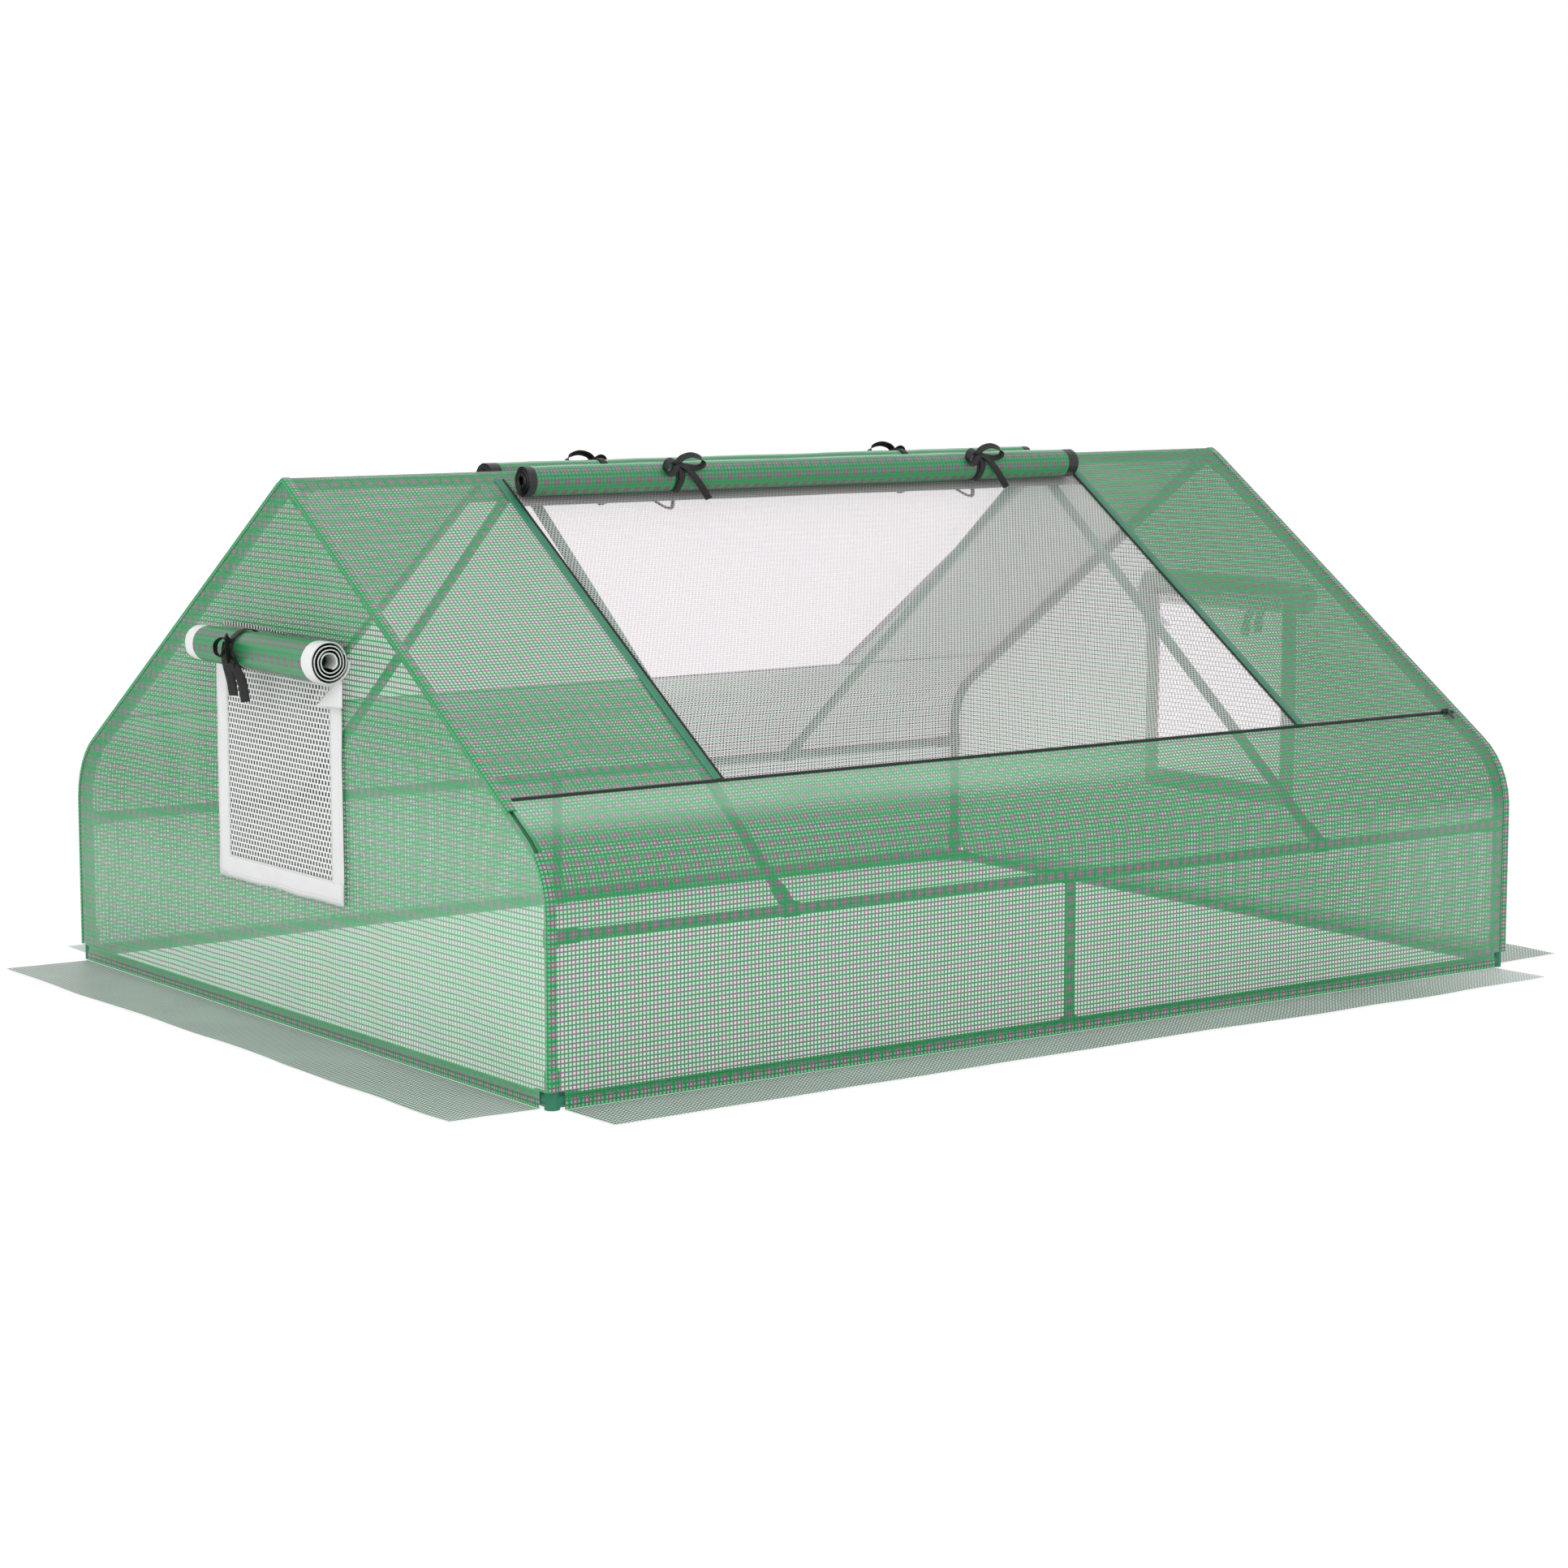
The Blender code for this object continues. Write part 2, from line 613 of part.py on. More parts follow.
def make_cover():
    make_side_cover("front_cover", FRONT)
    make_side_cover("back_cover", BACK)
    pieces = [
        (make_end_cover("left_end_cover"), "right_end_cover"),
        (make_door_zip("front_zip"), "back_zip"),
        (make_roof_screen("front_roof_screen"), "back_roof_screen"),
        (make_window_screen("left_window_screen"), "right_window_screen"),
        (make_slider("front_zip_slider"), "back_zip_slider"),
    ]
    door = door_roll_frame()
    roll = make_roll("front_door_roll", DOOR_ROLL_ENDS, DOOR_ROLL_RADIUS, door)
    pieces.append((roll, "back_door_roll"))
    window = window_roll_frame()
    ends = (-WINDOW_ROLL_ENDS[1], -WINDOW_ROLL_ENDS[0])
    roll = make_roll("left_window_roll", ends, WINDOW_ROLL_RADIUS, window)
    pieces.append((roll, "right_window_roll"))
    for label, x in zip(("left", "right"), DOOR_TIES):
        frame = door @ Matrix.Translation((x, 0, 0))
        name = f"front_door_tie_{label}"
        tie = make_tie(name, DOOR_ROLL_RADIUS, DOOR_BOW_TAILS, DOOR_BOW_LOOPS, frame)
        pieces.append((tie, f"back_door_tie_{label}"))
    frame = window @ Matrix.Translation((-WINDOW_TIE_Y, 0, 0))
    name = "left_window_tie"
    tie = make_tie(name, WINDOW_ROLL_RADIUS, WINDOW_BOW_TAILS, WINDOW_BOW_LOOPS, frame)
    pieces.append((tie, "right_window_tie"))
    reach = COVER_OFFSET + FLAP_GAP + FLAP_TUCK
    length = 2 * (FRAME_X + COVER_OFFSET - CORNER_NOTCH)
    hem = (0, -FRAME_Y - reach)
    flap = make_flap("front_ground_flap", length, SIDE_FLAP_WIDTH, hem, along_x=True)
    pieces.append((flap, "back_ground_flap"))
    length = 2 * (FRAME_Y + COVER_OFFSET - CORNER_NOTCH)
    hem = (-FRAME_X - reach, 0)
    flap = make_flap("left_ground_flap", length, END_FLAP_WIDTH, hem, along_x=False)
    pieces.append((flap, "right_ground_flap"))
    bpy.context.view_layer.update()
    for source, name in pieces:
        half_turned(source, name)


make_feet_and_clips()
make_hip_tubes()
make_rails()
make_mid_posts()
make_rafters()
make_ridge_ends()
make_cover()
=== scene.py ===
"""Mini garden greenhouse: the visual model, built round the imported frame.

Metres, +Z up. X runs along the ridge, the front is -Y and the left end is -X. The front and left
pieces are made first, and the back and right ones are the same pieces turned half round about Z.
"""

import json
from math import atan2, cos, dist, exp, pi, radians, sin, sqrt, tan

import bpy
from mathutils import Matrix, Vector, noise
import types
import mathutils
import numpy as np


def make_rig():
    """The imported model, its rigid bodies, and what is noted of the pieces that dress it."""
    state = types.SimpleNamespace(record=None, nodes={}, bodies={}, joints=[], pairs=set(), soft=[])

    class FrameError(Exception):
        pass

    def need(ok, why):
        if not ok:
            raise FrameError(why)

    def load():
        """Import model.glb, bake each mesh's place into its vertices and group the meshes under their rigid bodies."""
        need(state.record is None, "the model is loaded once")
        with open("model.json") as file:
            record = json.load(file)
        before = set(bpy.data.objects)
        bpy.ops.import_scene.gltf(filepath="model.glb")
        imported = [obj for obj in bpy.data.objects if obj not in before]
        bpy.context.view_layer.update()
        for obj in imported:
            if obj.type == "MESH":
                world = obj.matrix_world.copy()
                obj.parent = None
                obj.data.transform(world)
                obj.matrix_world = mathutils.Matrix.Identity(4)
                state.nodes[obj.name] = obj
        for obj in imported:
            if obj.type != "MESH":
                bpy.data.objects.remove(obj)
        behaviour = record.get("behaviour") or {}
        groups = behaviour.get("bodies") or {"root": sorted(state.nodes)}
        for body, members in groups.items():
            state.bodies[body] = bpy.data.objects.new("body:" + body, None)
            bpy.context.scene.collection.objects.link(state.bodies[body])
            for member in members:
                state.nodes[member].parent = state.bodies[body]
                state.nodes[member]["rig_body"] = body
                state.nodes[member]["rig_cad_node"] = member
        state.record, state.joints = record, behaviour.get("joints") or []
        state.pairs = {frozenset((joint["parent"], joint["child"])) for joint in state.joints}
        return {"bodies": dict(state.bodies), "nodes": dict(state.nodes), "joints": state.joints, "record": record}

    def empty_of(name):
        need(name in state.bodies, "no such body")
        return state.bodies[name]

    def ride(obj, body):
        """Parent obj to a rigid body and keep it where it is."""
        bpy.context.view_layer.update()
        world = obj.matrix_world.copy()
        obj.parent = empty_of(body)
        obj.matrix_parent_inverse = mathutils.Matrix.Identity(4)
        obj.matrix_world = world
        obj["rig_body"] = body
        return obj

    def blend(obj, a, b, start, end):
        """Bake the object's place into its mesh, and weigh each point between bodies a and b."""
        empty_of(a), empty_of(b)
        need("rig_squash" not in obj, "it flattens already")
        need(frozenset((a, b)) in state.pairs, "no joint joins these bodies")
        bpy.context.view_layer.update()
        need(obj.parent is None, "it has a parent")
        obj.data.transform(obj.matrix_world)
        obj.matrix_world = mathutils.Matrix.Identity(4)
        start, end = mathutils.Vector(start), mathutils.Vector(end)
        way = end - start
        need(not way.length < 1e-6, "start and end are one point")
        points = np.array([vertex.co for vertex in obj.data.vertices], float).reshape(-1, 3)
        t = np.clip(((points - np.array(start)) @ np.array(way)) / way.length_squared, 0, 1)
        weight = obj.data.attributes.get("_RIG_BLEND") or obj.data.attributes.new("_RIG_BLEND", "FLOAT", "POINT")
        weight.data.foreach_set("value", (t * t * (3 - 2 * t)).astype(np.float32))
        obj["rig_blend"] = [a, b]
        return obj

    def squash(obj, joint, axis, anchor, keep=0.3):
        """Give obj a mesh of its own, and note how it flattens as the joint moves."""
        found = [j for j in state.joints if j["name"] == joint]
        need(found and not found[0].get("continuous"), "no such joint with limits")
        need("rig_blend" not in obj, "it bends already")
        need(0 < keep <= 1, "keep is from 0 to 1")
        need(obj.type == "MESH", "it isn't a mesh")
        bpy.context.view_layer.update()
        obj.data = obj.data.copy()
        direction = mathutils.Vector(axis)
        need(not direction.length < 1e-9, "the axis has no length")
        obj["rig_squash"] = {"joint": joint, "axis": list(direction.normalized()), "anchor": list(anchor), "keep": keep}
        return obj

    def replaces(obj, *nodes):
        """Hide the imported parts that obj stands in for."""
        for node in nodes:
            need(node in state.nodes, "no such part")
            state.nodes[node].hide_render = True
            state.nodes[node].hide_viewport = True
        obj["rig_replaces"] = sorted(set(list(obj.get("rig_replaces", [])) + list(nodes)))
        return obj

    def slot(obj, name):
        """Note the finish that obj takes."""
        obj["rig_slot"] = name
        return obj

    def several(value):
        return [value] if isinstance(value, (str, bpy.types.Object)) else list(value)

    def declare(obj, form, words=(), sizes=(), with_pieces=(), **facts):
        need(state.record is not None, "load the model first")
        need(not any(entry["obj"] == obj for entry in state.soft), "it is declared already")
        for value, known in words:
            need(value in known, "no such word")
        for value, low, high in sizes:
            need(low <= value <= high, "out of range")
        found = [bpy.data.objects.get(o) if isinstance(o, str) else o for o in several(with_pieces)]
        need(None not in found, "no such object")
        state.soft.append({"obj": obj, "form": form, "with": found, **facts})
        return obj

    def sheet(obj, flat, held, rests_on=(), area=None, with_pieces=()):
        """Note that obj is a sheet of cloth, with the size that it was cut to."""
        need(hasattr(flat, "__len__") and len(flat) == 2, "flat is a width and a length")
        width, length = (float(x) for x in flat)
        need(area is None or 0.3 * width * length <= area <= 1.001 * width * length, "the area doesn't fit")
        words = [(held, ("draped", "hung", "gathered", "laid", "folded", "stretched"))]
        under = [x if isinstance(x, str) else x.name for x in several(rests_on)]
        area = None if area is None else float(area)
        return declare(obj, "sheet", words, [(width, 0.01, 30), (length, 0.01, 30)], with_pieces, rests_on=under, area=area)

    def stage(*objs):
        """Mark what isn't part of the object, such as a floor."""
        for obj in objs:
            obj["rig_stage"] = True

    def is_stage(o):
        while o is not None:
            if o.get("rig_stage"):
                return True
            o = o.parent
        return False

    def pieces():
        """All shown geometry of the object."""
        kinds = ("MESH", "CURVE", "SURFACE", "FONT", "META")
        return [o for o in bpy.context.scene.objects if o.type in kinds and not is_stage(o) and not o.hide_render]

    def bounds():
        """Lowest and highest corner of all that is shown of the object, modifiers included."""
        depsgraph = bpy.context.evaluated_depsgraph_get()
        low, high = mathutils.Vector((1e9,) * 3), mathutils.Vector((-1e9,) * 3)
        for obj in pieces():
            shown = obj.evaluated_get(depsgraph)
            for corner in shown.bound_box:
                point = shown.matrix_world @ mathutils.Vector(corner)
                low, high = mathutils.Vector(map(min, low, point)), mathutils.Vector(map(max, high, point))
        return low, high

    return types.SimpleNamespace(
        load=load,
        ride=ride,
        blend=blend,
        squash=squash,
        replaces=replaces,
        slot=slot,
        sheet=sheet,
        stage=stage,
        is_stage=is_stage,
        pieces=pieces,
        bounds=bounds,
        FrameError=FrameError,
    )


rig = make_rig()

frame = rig.load()
nodes = frame["nodes"]
cad_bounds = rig.bounds()

# Frame and cover, as in the CAD
LENGTH, WIDTH, HEIGHT = 1.80, 1.40, 0.80
SHEET = 0.0008
GAP = 0.0003
COVER_OFFSET = 0.0105 + 2 * GAP + SHEET
FRAME_X = LENGTH / 2 - COVER_OFFSET
FRAME_Y = WIDTH / 2 - COVER_OFFSET
RIDGE_Z = HEIGHT - COVER_OFFSET
MID_RAIL_Z = 0.228
RAFTER_X = 0.50
ROOF_RISE = atan2(0.48, WIDTH / 2)
SHOULDER_RADIUS = 0.115
SHOULDER_TURN = pi / 2 - ROOF_RISE
SHOULDER_TANGENT = SHOULDER_RADIUS * tan(SHOULDER_TURN / 2)
SHOULDER_START = RIDGE_Z - FRAME_Y * tan(ROOF_RISE) - SHOULDER_TANGENT
SLOPE_LENGTH = FRAME_Y / cos(ROOF_RISE) - SHOULDER_TANGENT
CORNER_NOTCH = 0.024
HEM_Z = 0.0006
HEM_HEIGHT = 0.014
SEAM_GAP_WIDTH = 0.006
SEAM_GAP = (0.345, 0.425)  # along the cover, where the front left seam has opened over its tube
STEP = 0.012  # between the cover's vertices

# Roof doors and end windows, as in the CAD
DOOR_HALF = 0.54
DOOR_TOP = 0.030
ZIP_DOWN = 0.706
ZIP_WIDTH = 0.006
ZIP_HALF_LENGTH = 0.885
DOOR_TAPE_WIDTH = 0.018
SCREEN = 0.0006
SCREEN_LAP = 0.010
DOOR_ROLL_RADIUS = 0.022
DOOR_ROLL_ENDS = (-0.547, 0.525)
DOOR_ROLL_DOWN = 0.054
DOOR_TIES = (-0.270, 0.315)
ROLL_LIFT = 0.003
HEADER_DOWN = 0.075
WINDOW_Y = (-0.135, 0.180)
WINDOW_Z = (0.230, 0.555)
BORDER = 0.030
WINDOW_ROLL_RADIUS = 0.028
WINDOW_ROLL_ENDS = (-0.190, 0.202)
WINDOW_ROLL_Z = 0.552
WINDOW_TIE_Y = 0.055
BAND_CLEAR = 0.0008  # from a roll to the ribbon round it
SLIDER_X = 0.866
END_FLAP_WIDTH = 0.140
SIDE_FLAP_WIDTH = 0.115

TURN = Matrix.Rotation(pi, 4, "Z")


# Camera and studio


def make_camera():
    data = bpy.data.cameras.new("camera")
    data.lens = 84.8
    data.sensor_width = 36
    data.clip_end = 200
    camera = link("camera", data)
    camera.location = (-3.4386, -4.7062, 1.0611)
    camera.rotation_euler = (radians(90 - 7.556), 0, radians(-36.07))
    bpy.context.scene.camera = camera


def area_light(name, location, size, power):
    data = bpy.data.lights.new(name, "AREA")
    data.size = size
    data.energy = power
    lamp = link(name, data)
    lamp.location = location
    towards = Vector((0, 0, 0.3)) - Vector(location)
    lamp.rotation_euler = towards.to_track_quat("-Z", "Y").to_euler()


def make_studio():
    world = bpy.data.worlds.new("studio")
    world.use_nodes = True
    world.node_tree.nodes["Background"].inputs["Color"].default_value = (1, 1, 1, 1)
    world.node_tree.nodes["Background"].inputs["Strength"].default_value = 1.0
    bpy.context.scene.world = world
    bpy.context.scene.view_settings.view_transform = "Standard"
    area_light("key", (-2.9, -2.6, 2.9), 1.6, 22)
    area_light("top", (0.8, 0.6, 4.5), 2.5, 10)
    floor = grid_piece("floor", [-20, 20], [-20, 20], lambda x, y: (x, y, -0.0012))
    material = new_material("studio_floor", (0.22, 0.22, 0.22), 0.9)
    shader = material.node_tree.nodes["Principled BSDF"]
    shader.inputs["Specular IOR Level"].default_value = 0.0
    shader.inputs["Emission Color"].default_value = (1, 1, 1, 1)
    shader.inputs["Emission Strength"].default_value = 0.84
    floor.data.materials.append(material)
    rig.stage(floor)


# Node materials


def linear(hex_colour):
    """An sRGB colour such as 2E8B57 as linear values."""
    channels = [int(hex_colour[i:i + 2], 16) / 255 for i in (0, 2, 4)]
    return [c / 12.92 if c <= 0.04045 else ((c + 0.055) / 1.055) ** 2.4 for c in channels]


def scaled(colour, factor):
    return tuple(min(1.0, factor * channel) for channel in colour)


def new_material(name, colour, roughness):
    material = bpy.data.materials.new(name)
    material.use_nodes = True
    shader = material.node_tree.nodes["Principled BSDF"]
    shader.inputs["Base Color"].default_value = (*colour, 1)
    shader.inputs["Roughness"].default_value = roughness
    material.diffuse_color = (*colour, 1)
    return material


class Wiring:
    """Short calls that add nodes to one material."""

    def __init__(self, material):
        self.tree = material.node_tree
        self.shader = self.tree.nodes["Principled BSDF"]

    def feed(self, socket, value):
        if isinstance(value, bpy.types.NodeSocket):
            self.tree.links.new(value, socket)
        else:
            socket.default_value = value

    def shade(self, name, value):
        self.feed(self.shader.inputs[name], value)

    def add(self, kind, output, inputs, **settings):
        node = self.tree.nodes.new(kind)
        for key, value in settings.items():
            setattr(node, key, value)
        for key, value in inputs.items():
            self.feed(node.inputs[key], value)
        return node.outputs[output]

    def math(self, operation, *values):
        return self.add("ShaderNodeMath", 0, dict(enumerate(values)), operation=operation)

    def times(self, *values):
        return self.math("MULTIPLY", *values)

    def most(self, *values):
        return self.math("MAXIMUM", *values)

    def within(self, value, low, high):
        """1 between low and high and 0 outside them."""
        return self.times(self.math("GREATER_THAN", value, low), self.math("LESS_THAN", value, high))

    def hump(self, value, rise, fall):
        """Goes from 0 to 1 over rise and back to 0 over fall."""
        return self.times(self.step(value, *rise), self.step(value, *fall, 1.0, 0.0))

    def step(self, value, low, high, start=0.0, end=1.0):
        keys = ("Value", "From Min", "From Max", "To Min", "To Max")
        inputs = dict(zip(keys, (value, low, high, start, end)))
        return self.add("ShaderNodeMapRange", 0, inputs, interpolation_type="SMOOTHSTEP")

    def mix(self, share, first, second):
        """A colour between first and second."""
        inputs = {0: share, 6: self.colour(first), 7: self.colour(second)}
        return self.add("ShaderNodeMix", 2, inputs, data_type="RGBA")

    def blend(self, share, first, second):
        """A number between first and second."""
        return self.add("ShaderNodeMix", 0, {0: share, 2: first, 3: second})

    def colour(self, value):
        return value if isinstance(value, bpy.types.NodeSocket) else (*value, 1)

    def uv(self):
        return self.add("ShaderNodeUVMap", 0, {}, uv_map="weave")

    def from_behind(self):
        return self.add("ShaderNodeNewGeometry", "Backfacing", {})

    def place(self):
        return self.add("ShaderNodeTexCoord", "Object", {})

    def along(self, *ways):
        """The distances along two directions, from the piece's own place in space."""
        parts = {}
        for number, way in enumerate(ways):
            inputs = {0: self.place(), 1: way}
            parts[number] = self.add("ShaderNodeVectorMath", "Value", inputs, operation="DOT_PRODUCT")
        return self.add("ShaderNodeCombineXYZ", 0, parts)

    def split(self, vector):
        node = self.tree.nodes.new("ShaderNodeSeparateXYZ")
        self.feed(node.inputs[0], vector)
        return node.outputs[0], node.outputs[1]

    def noise(self, vector, scale, detail=2.0):
        inputs = {"Vector": vector, "Scale": scale, "Detail": detail}
        return self.add("ShaderNodeTexNoise", 0, inputs)

    def bump(self, height, strength, distance=0.001):
        inputs = {"Height": height, "Strength": strength, "Distance": distance}
        self.feed(self.shader.inputs["Normal"], self.add("ShaderNodeBump", 0, inputs))

    def ripple(self, value, period, share, soft):
        """1 in the middle share of each period and 0 outside it, with soft edges."""
        cell = self.math("FRACT", self.math("DIVIDE", value, period))
        away = self.times(self.math("ABSOLUTE", self.math("SUBTRACT", cell, 0.5)), 2.0)
        return self.step(away, share - soft, share + soft, 1.0, 0.0)


def cover_shade(wire, u, v):
    """Painted shade round the shoulders and to the right, and painted highlight, a pale sheen, under the zips and on
    the right wall.
    """
    run = wire.math("MINIMUM", v, wire.math("SUBTRACT", 2 * SIDE_LENGTH, v))
    zip_run = along_at(ZIP_DOWN)
    top = WALL + ARC
    shoulder_shade = wire.hump(run, (WALL - 0.030, WALL + 0.012), (top - 0.030, top + 0.030))
    # Painted shade on the shoulders and roof, growing towards the right.
    right = wire.times(wire.step(u, 0.10, 0.75), wire.step(run, WALL - 0.01, top + 0.02, 0.0, 0.55))
    below_zip = wire.hump(run, (top - 0.020, top + 0.030), (zip_run - 0.004, zip_run + 0.004))
    zip_highlight = wire.times(below_zip, wire.step(u, -0.2, 0.55, 0.26, 0.0))
    low = wire.step(run, WALL - 0.02, WALL + 0.03, 1.0, 0.0)
    # Painted highlight low on the wall, towards the right.
    wall = wire.times(wire.step(u, 0.45, 0.80, 0.0, 0.14), low)
    return wire.most(wire.times(shoulder_shade, 0.32), right), wire.most(zip_highlight, wall)


def gable_shade(wire, u, v):
    """Painted highlight, a pale sheen, near the ground, and higher up towards the front."""
    front = wire.times(wire.step(u, -0.10, 0.35), wire.step(v, 0.30, 0.52, 0.24, 0.0))
    return 0.0, wire.most(wire.step(v, 0.16, 0.34, 0.22, 0.0), front)


def roll_shade(wire, u, v):
    """Painted shade underneath a roll, and a painted highlight in a band along its top."""
    highlight_band = wire.hump(v, (0.070, 0.078), (0.084, 0.094))
    return wire.step(v, 0.030, 0.062, 0.85, 0.0), wire.times(highlight_band, 0.45)


def window_roll_shade(wire, u, v):
    # Painted shade over the whole roll, most underneath; no painted highlight.
    return wire.step(v, 0.030, 0.100, 0.90, 0.40), 0.0


def woven_material(name, weave, film_alpha, axes=None, bands=None, shade=None, inner=1.0):
    """Woven tape cloth: green with mauve squares where two mauve bands cross, under a clear film.

    weave is the periods along u and v, the mauve share of each, and the threads' share of their pitch.
    film_alpha is the cover of the film between the threads. axes are two directions to weave along, where
    it isn't the UV map. shade gives the shares of painted shade and of painted highlight. inner is the
    share of the cover seen from inside. bands is for a roll: the low and high u past which it is plain, the
    plain colour, the painted shade of its inner turns, their start and end along v, and the low and high u
    between which they show.
    """
    period, mauve, thread_share = weave
    clear = film_alpha < 1
    material = new_material(name, linear("4FA873"), 0.34)
    wire = Wiring(material)
    vector = wire.along(*axes) if axes else wire.uv()
    u, v = wire.split(vector)
    squares, threads = [], []
    for value, length, share in zip((u, v), period, mauve):
        squares.append(wire.ripple(value, length, share, 0.06))
        gap = wire.ripple(value, length / 3, 1 - thread_share, 0.12)
        threads.append(wire.math("SUBTRACT", 1.0, gap))
    square = wire.times(*squares)
    thread = wire.most(*threads)
    cloud = wire.noise(vector, 5.0, 4.0)
    # Painted highlight: a sheen in broad clouds and in soft stripes along v, weaker on the rolls.
    sheen = wire.step(cloud, 0.45, 0.75, 0.0, FILM_SHEEN_SHARE)
    inputs = {0: vector, 1: (16.0, 2.2, 1.0)}
    stretch = wire.add("ShaderNodeVectorMath", "Vector", inputs, operation="MULTIPLY")
    sheen = wire.most(sheen, wire.step(wire.noise(stretch, 1.0, 3.0), 0.60, 0.74, 0.0, 0.30))
    if not clear:
        sheen = wire.times(sheen, 0.25)
    green_film = wire.mix(sheen, FILM_GREEN if clear else ROLL_GREEN, FILM_SHEEN)
    film = wire.mix(square, green_film, FILM_MAUVE if clear else ROLL_MAUVE)
    worn = wire.noise(vector, 60.0, 3.0)
    strand = wire.mix(square, wire.mix(worn, THREAD_GREEN, THREAD_DARK), THREAD_MAUVE)
    colour = wire.mix(thread, film, strand)
    cover = wire.blend(thread, film_alpha, THREAD_ALPHA if clear else 1.0)
    if shade:
        deep, pale = shade(wire, u, v)
        # Painted shade: a deeper colour and more cover where shade would fall.
        colour = wire.mix(deep, colour, wire.mix(square, SHADED_GREEN, SHADED_MAUVE))
        # Painted highlight: a pale sheen mixed in.
        colour = wire.mix(pale, colour, HIGHLIGHT_GREEN)
        cover = wire.blend(wire.times(wire.most(deep, pale), 0.45), cover, 1.0)
    if bands:
        low, high, plain, dark, turns, rim = bands
        colour = wire.mix(wire.within(u, low, high), plain, colour)
        # Painted shade inside the roll: its inner turns darker, except near the very ends.
        colour = wire.mix(wire.times(wire.within(v, *turns), wire.within(u, *rim)), colour, dark)
    wire.shade("Base Color", colour)
    if clear:
        if inner < 1:
            cover = wire.times(cover, wire.blend(wire.from_behind(), 1.0, inner))
        wire.shade("Alpha", cover)
    wire.shade("Roughness", wire.step(cloud, 0.3, 0.7, 0.28, 0.46))
    relief = wire.math("ADD", *[wire.times(part, 0.5) for part in threads])
    wire.bump(wire.math("ADD", relief, wire.times(worn, 0.25)), 0.35)
    return material


def knit_material(name, pitch, hole, yarn, yarn_alpha, dot, dot_alpha, inner_alpha):
    """Fine knitted mesh: pale yarn with rows of small openings painted dark as shade, every other row shifted.

    dot_alpha and inner_alpha are the cover of an opening seen from outside and from inside.
    """
    material = new_material(name, yarn, 0.75)
    wire = Wiring(material)
    vector = wire.uv()
    u, v = wire.split(vector)
    row = wire.math("FLOOR", wire.math("DIVIDE", v, pitch[1]))
    shift = wire.times(wire.math("FRACT", wire.times(row, 0.5)), pitch[0])
    across = wire.ripple(wire.math("ADD", u, shift), pitch[0], hole[0], 0.2)
    along = wire.ripple(v, pitch[1], hole[1], 0.2)
    opening = wire.times(across, along)
    tone = wire.noise(vector, 9.0, 3.0)
    thread = wire.mix(wire.times(tone, 0.25), yarn, scaled(yarn, 0.8))
    # Painted shade: the openings take a dark colour for what shows through them.
    wire.shade("Base Color", wire.mix(opening, thread, dot))
    clear = wire.blend(wire.from_behind(), dot_alpha, inner_alpha)
    wire.shade("Alpha", wire.blend(opening, yarn_alpha, clear))
    wire.bump(wire.math("SUBTRACT", 1.0, opening), 0.3, 0.0005)
    return material


def plain_cloth(name, colour, roughness, weave=0.0016, stitch_at=(), edge=None):
    """Close-woven tape or lining. stitch_at lists the distances across it at which it is sewn."""
    material = new_material(name, colour, roughness)
    wire = Wiring(material)
    vector = wire.uv()
    u, v = wire.split(vector)
    over = wire.ripple(u, weave, 0.5, 0.3)
    under = wire.ripple(v, weave, 0.5, 0.3)
    relief = wire.times(wire.math("ADD", over, under), 0.5)
    tone = wire.noise(vector, 30.0, 4.0)
    shade = wire.mix(wire.times(tone, 0.5), colour, scaled(colour, 0.72))
    # Painted highlight: the raised threads lighter.
    shade = wire.mix(wire.times(relief, 0.3), shade, scaled(colour, 1.25))
    for at in stitch_at:
        line = wire.step(wire.math("ABSOLUTE", wire.math("SUBTRACT", v, at)), 0.0003, 0.0006, 1.0, 0.0)
        stitch = wire.times(line, wire.ripple(u, 0.0042, 0.7, 0.1))
        shade = wire.mix(stitch, shade, edge)
        relief = wire.math("ADD", relief, wire.times(stitch, 1.5))
    wire.shade("Base Color", shade)
    worn = wire.step(tone, 0.3, 0.7, roughness - 0.08, roughness + 0.08)
    wire.shade("Roughness", worn)
    wire.bump(relief, 0.25, 0.0004)
    return material


def painted_steel(name, colour, worn_colour):
    """Powder-coated tube: a faint mottle, and slightly rubbed where it has been handled."""
    material = new_material(name, colour, 0.4)
    wire = Wiring(material)
    place = wire.place()
    mottle = wire.noise(place, 14.0, 4.0)
    grain = wire.noise(place, 900.0, 1.0)
    wire.shade("Base Color", wire.mix(wire.step(mottle, 0.4, 0.8), colour, worn_colour))
    wire.shade("Roughness", wire.step(mottle, 0.3, 0.7, 0.32, 0.48))
    wire.bump(wire.math("ADD", grain, mottle), 0.12, 0.0004)
    return material


def moulded_plastic(name, colour):
    material = new_material(name, colour, 0.5)
    wire = Wiring(material)
    place = wire.place()
    pits = wire.noise(place, 1500.0, 2.0)
    tone = wire.noise(place, 22.0, 2.0)
    wire.shade("Base Color", wire.mix(tone, colour, scaled(colour, 0.8)))
    wire.shade("Roughness", wire.step(pits, 0.3, 0.7, 0.42, 0.58))
    wire.bump(pits, 0.2, 0.0003)
    return material


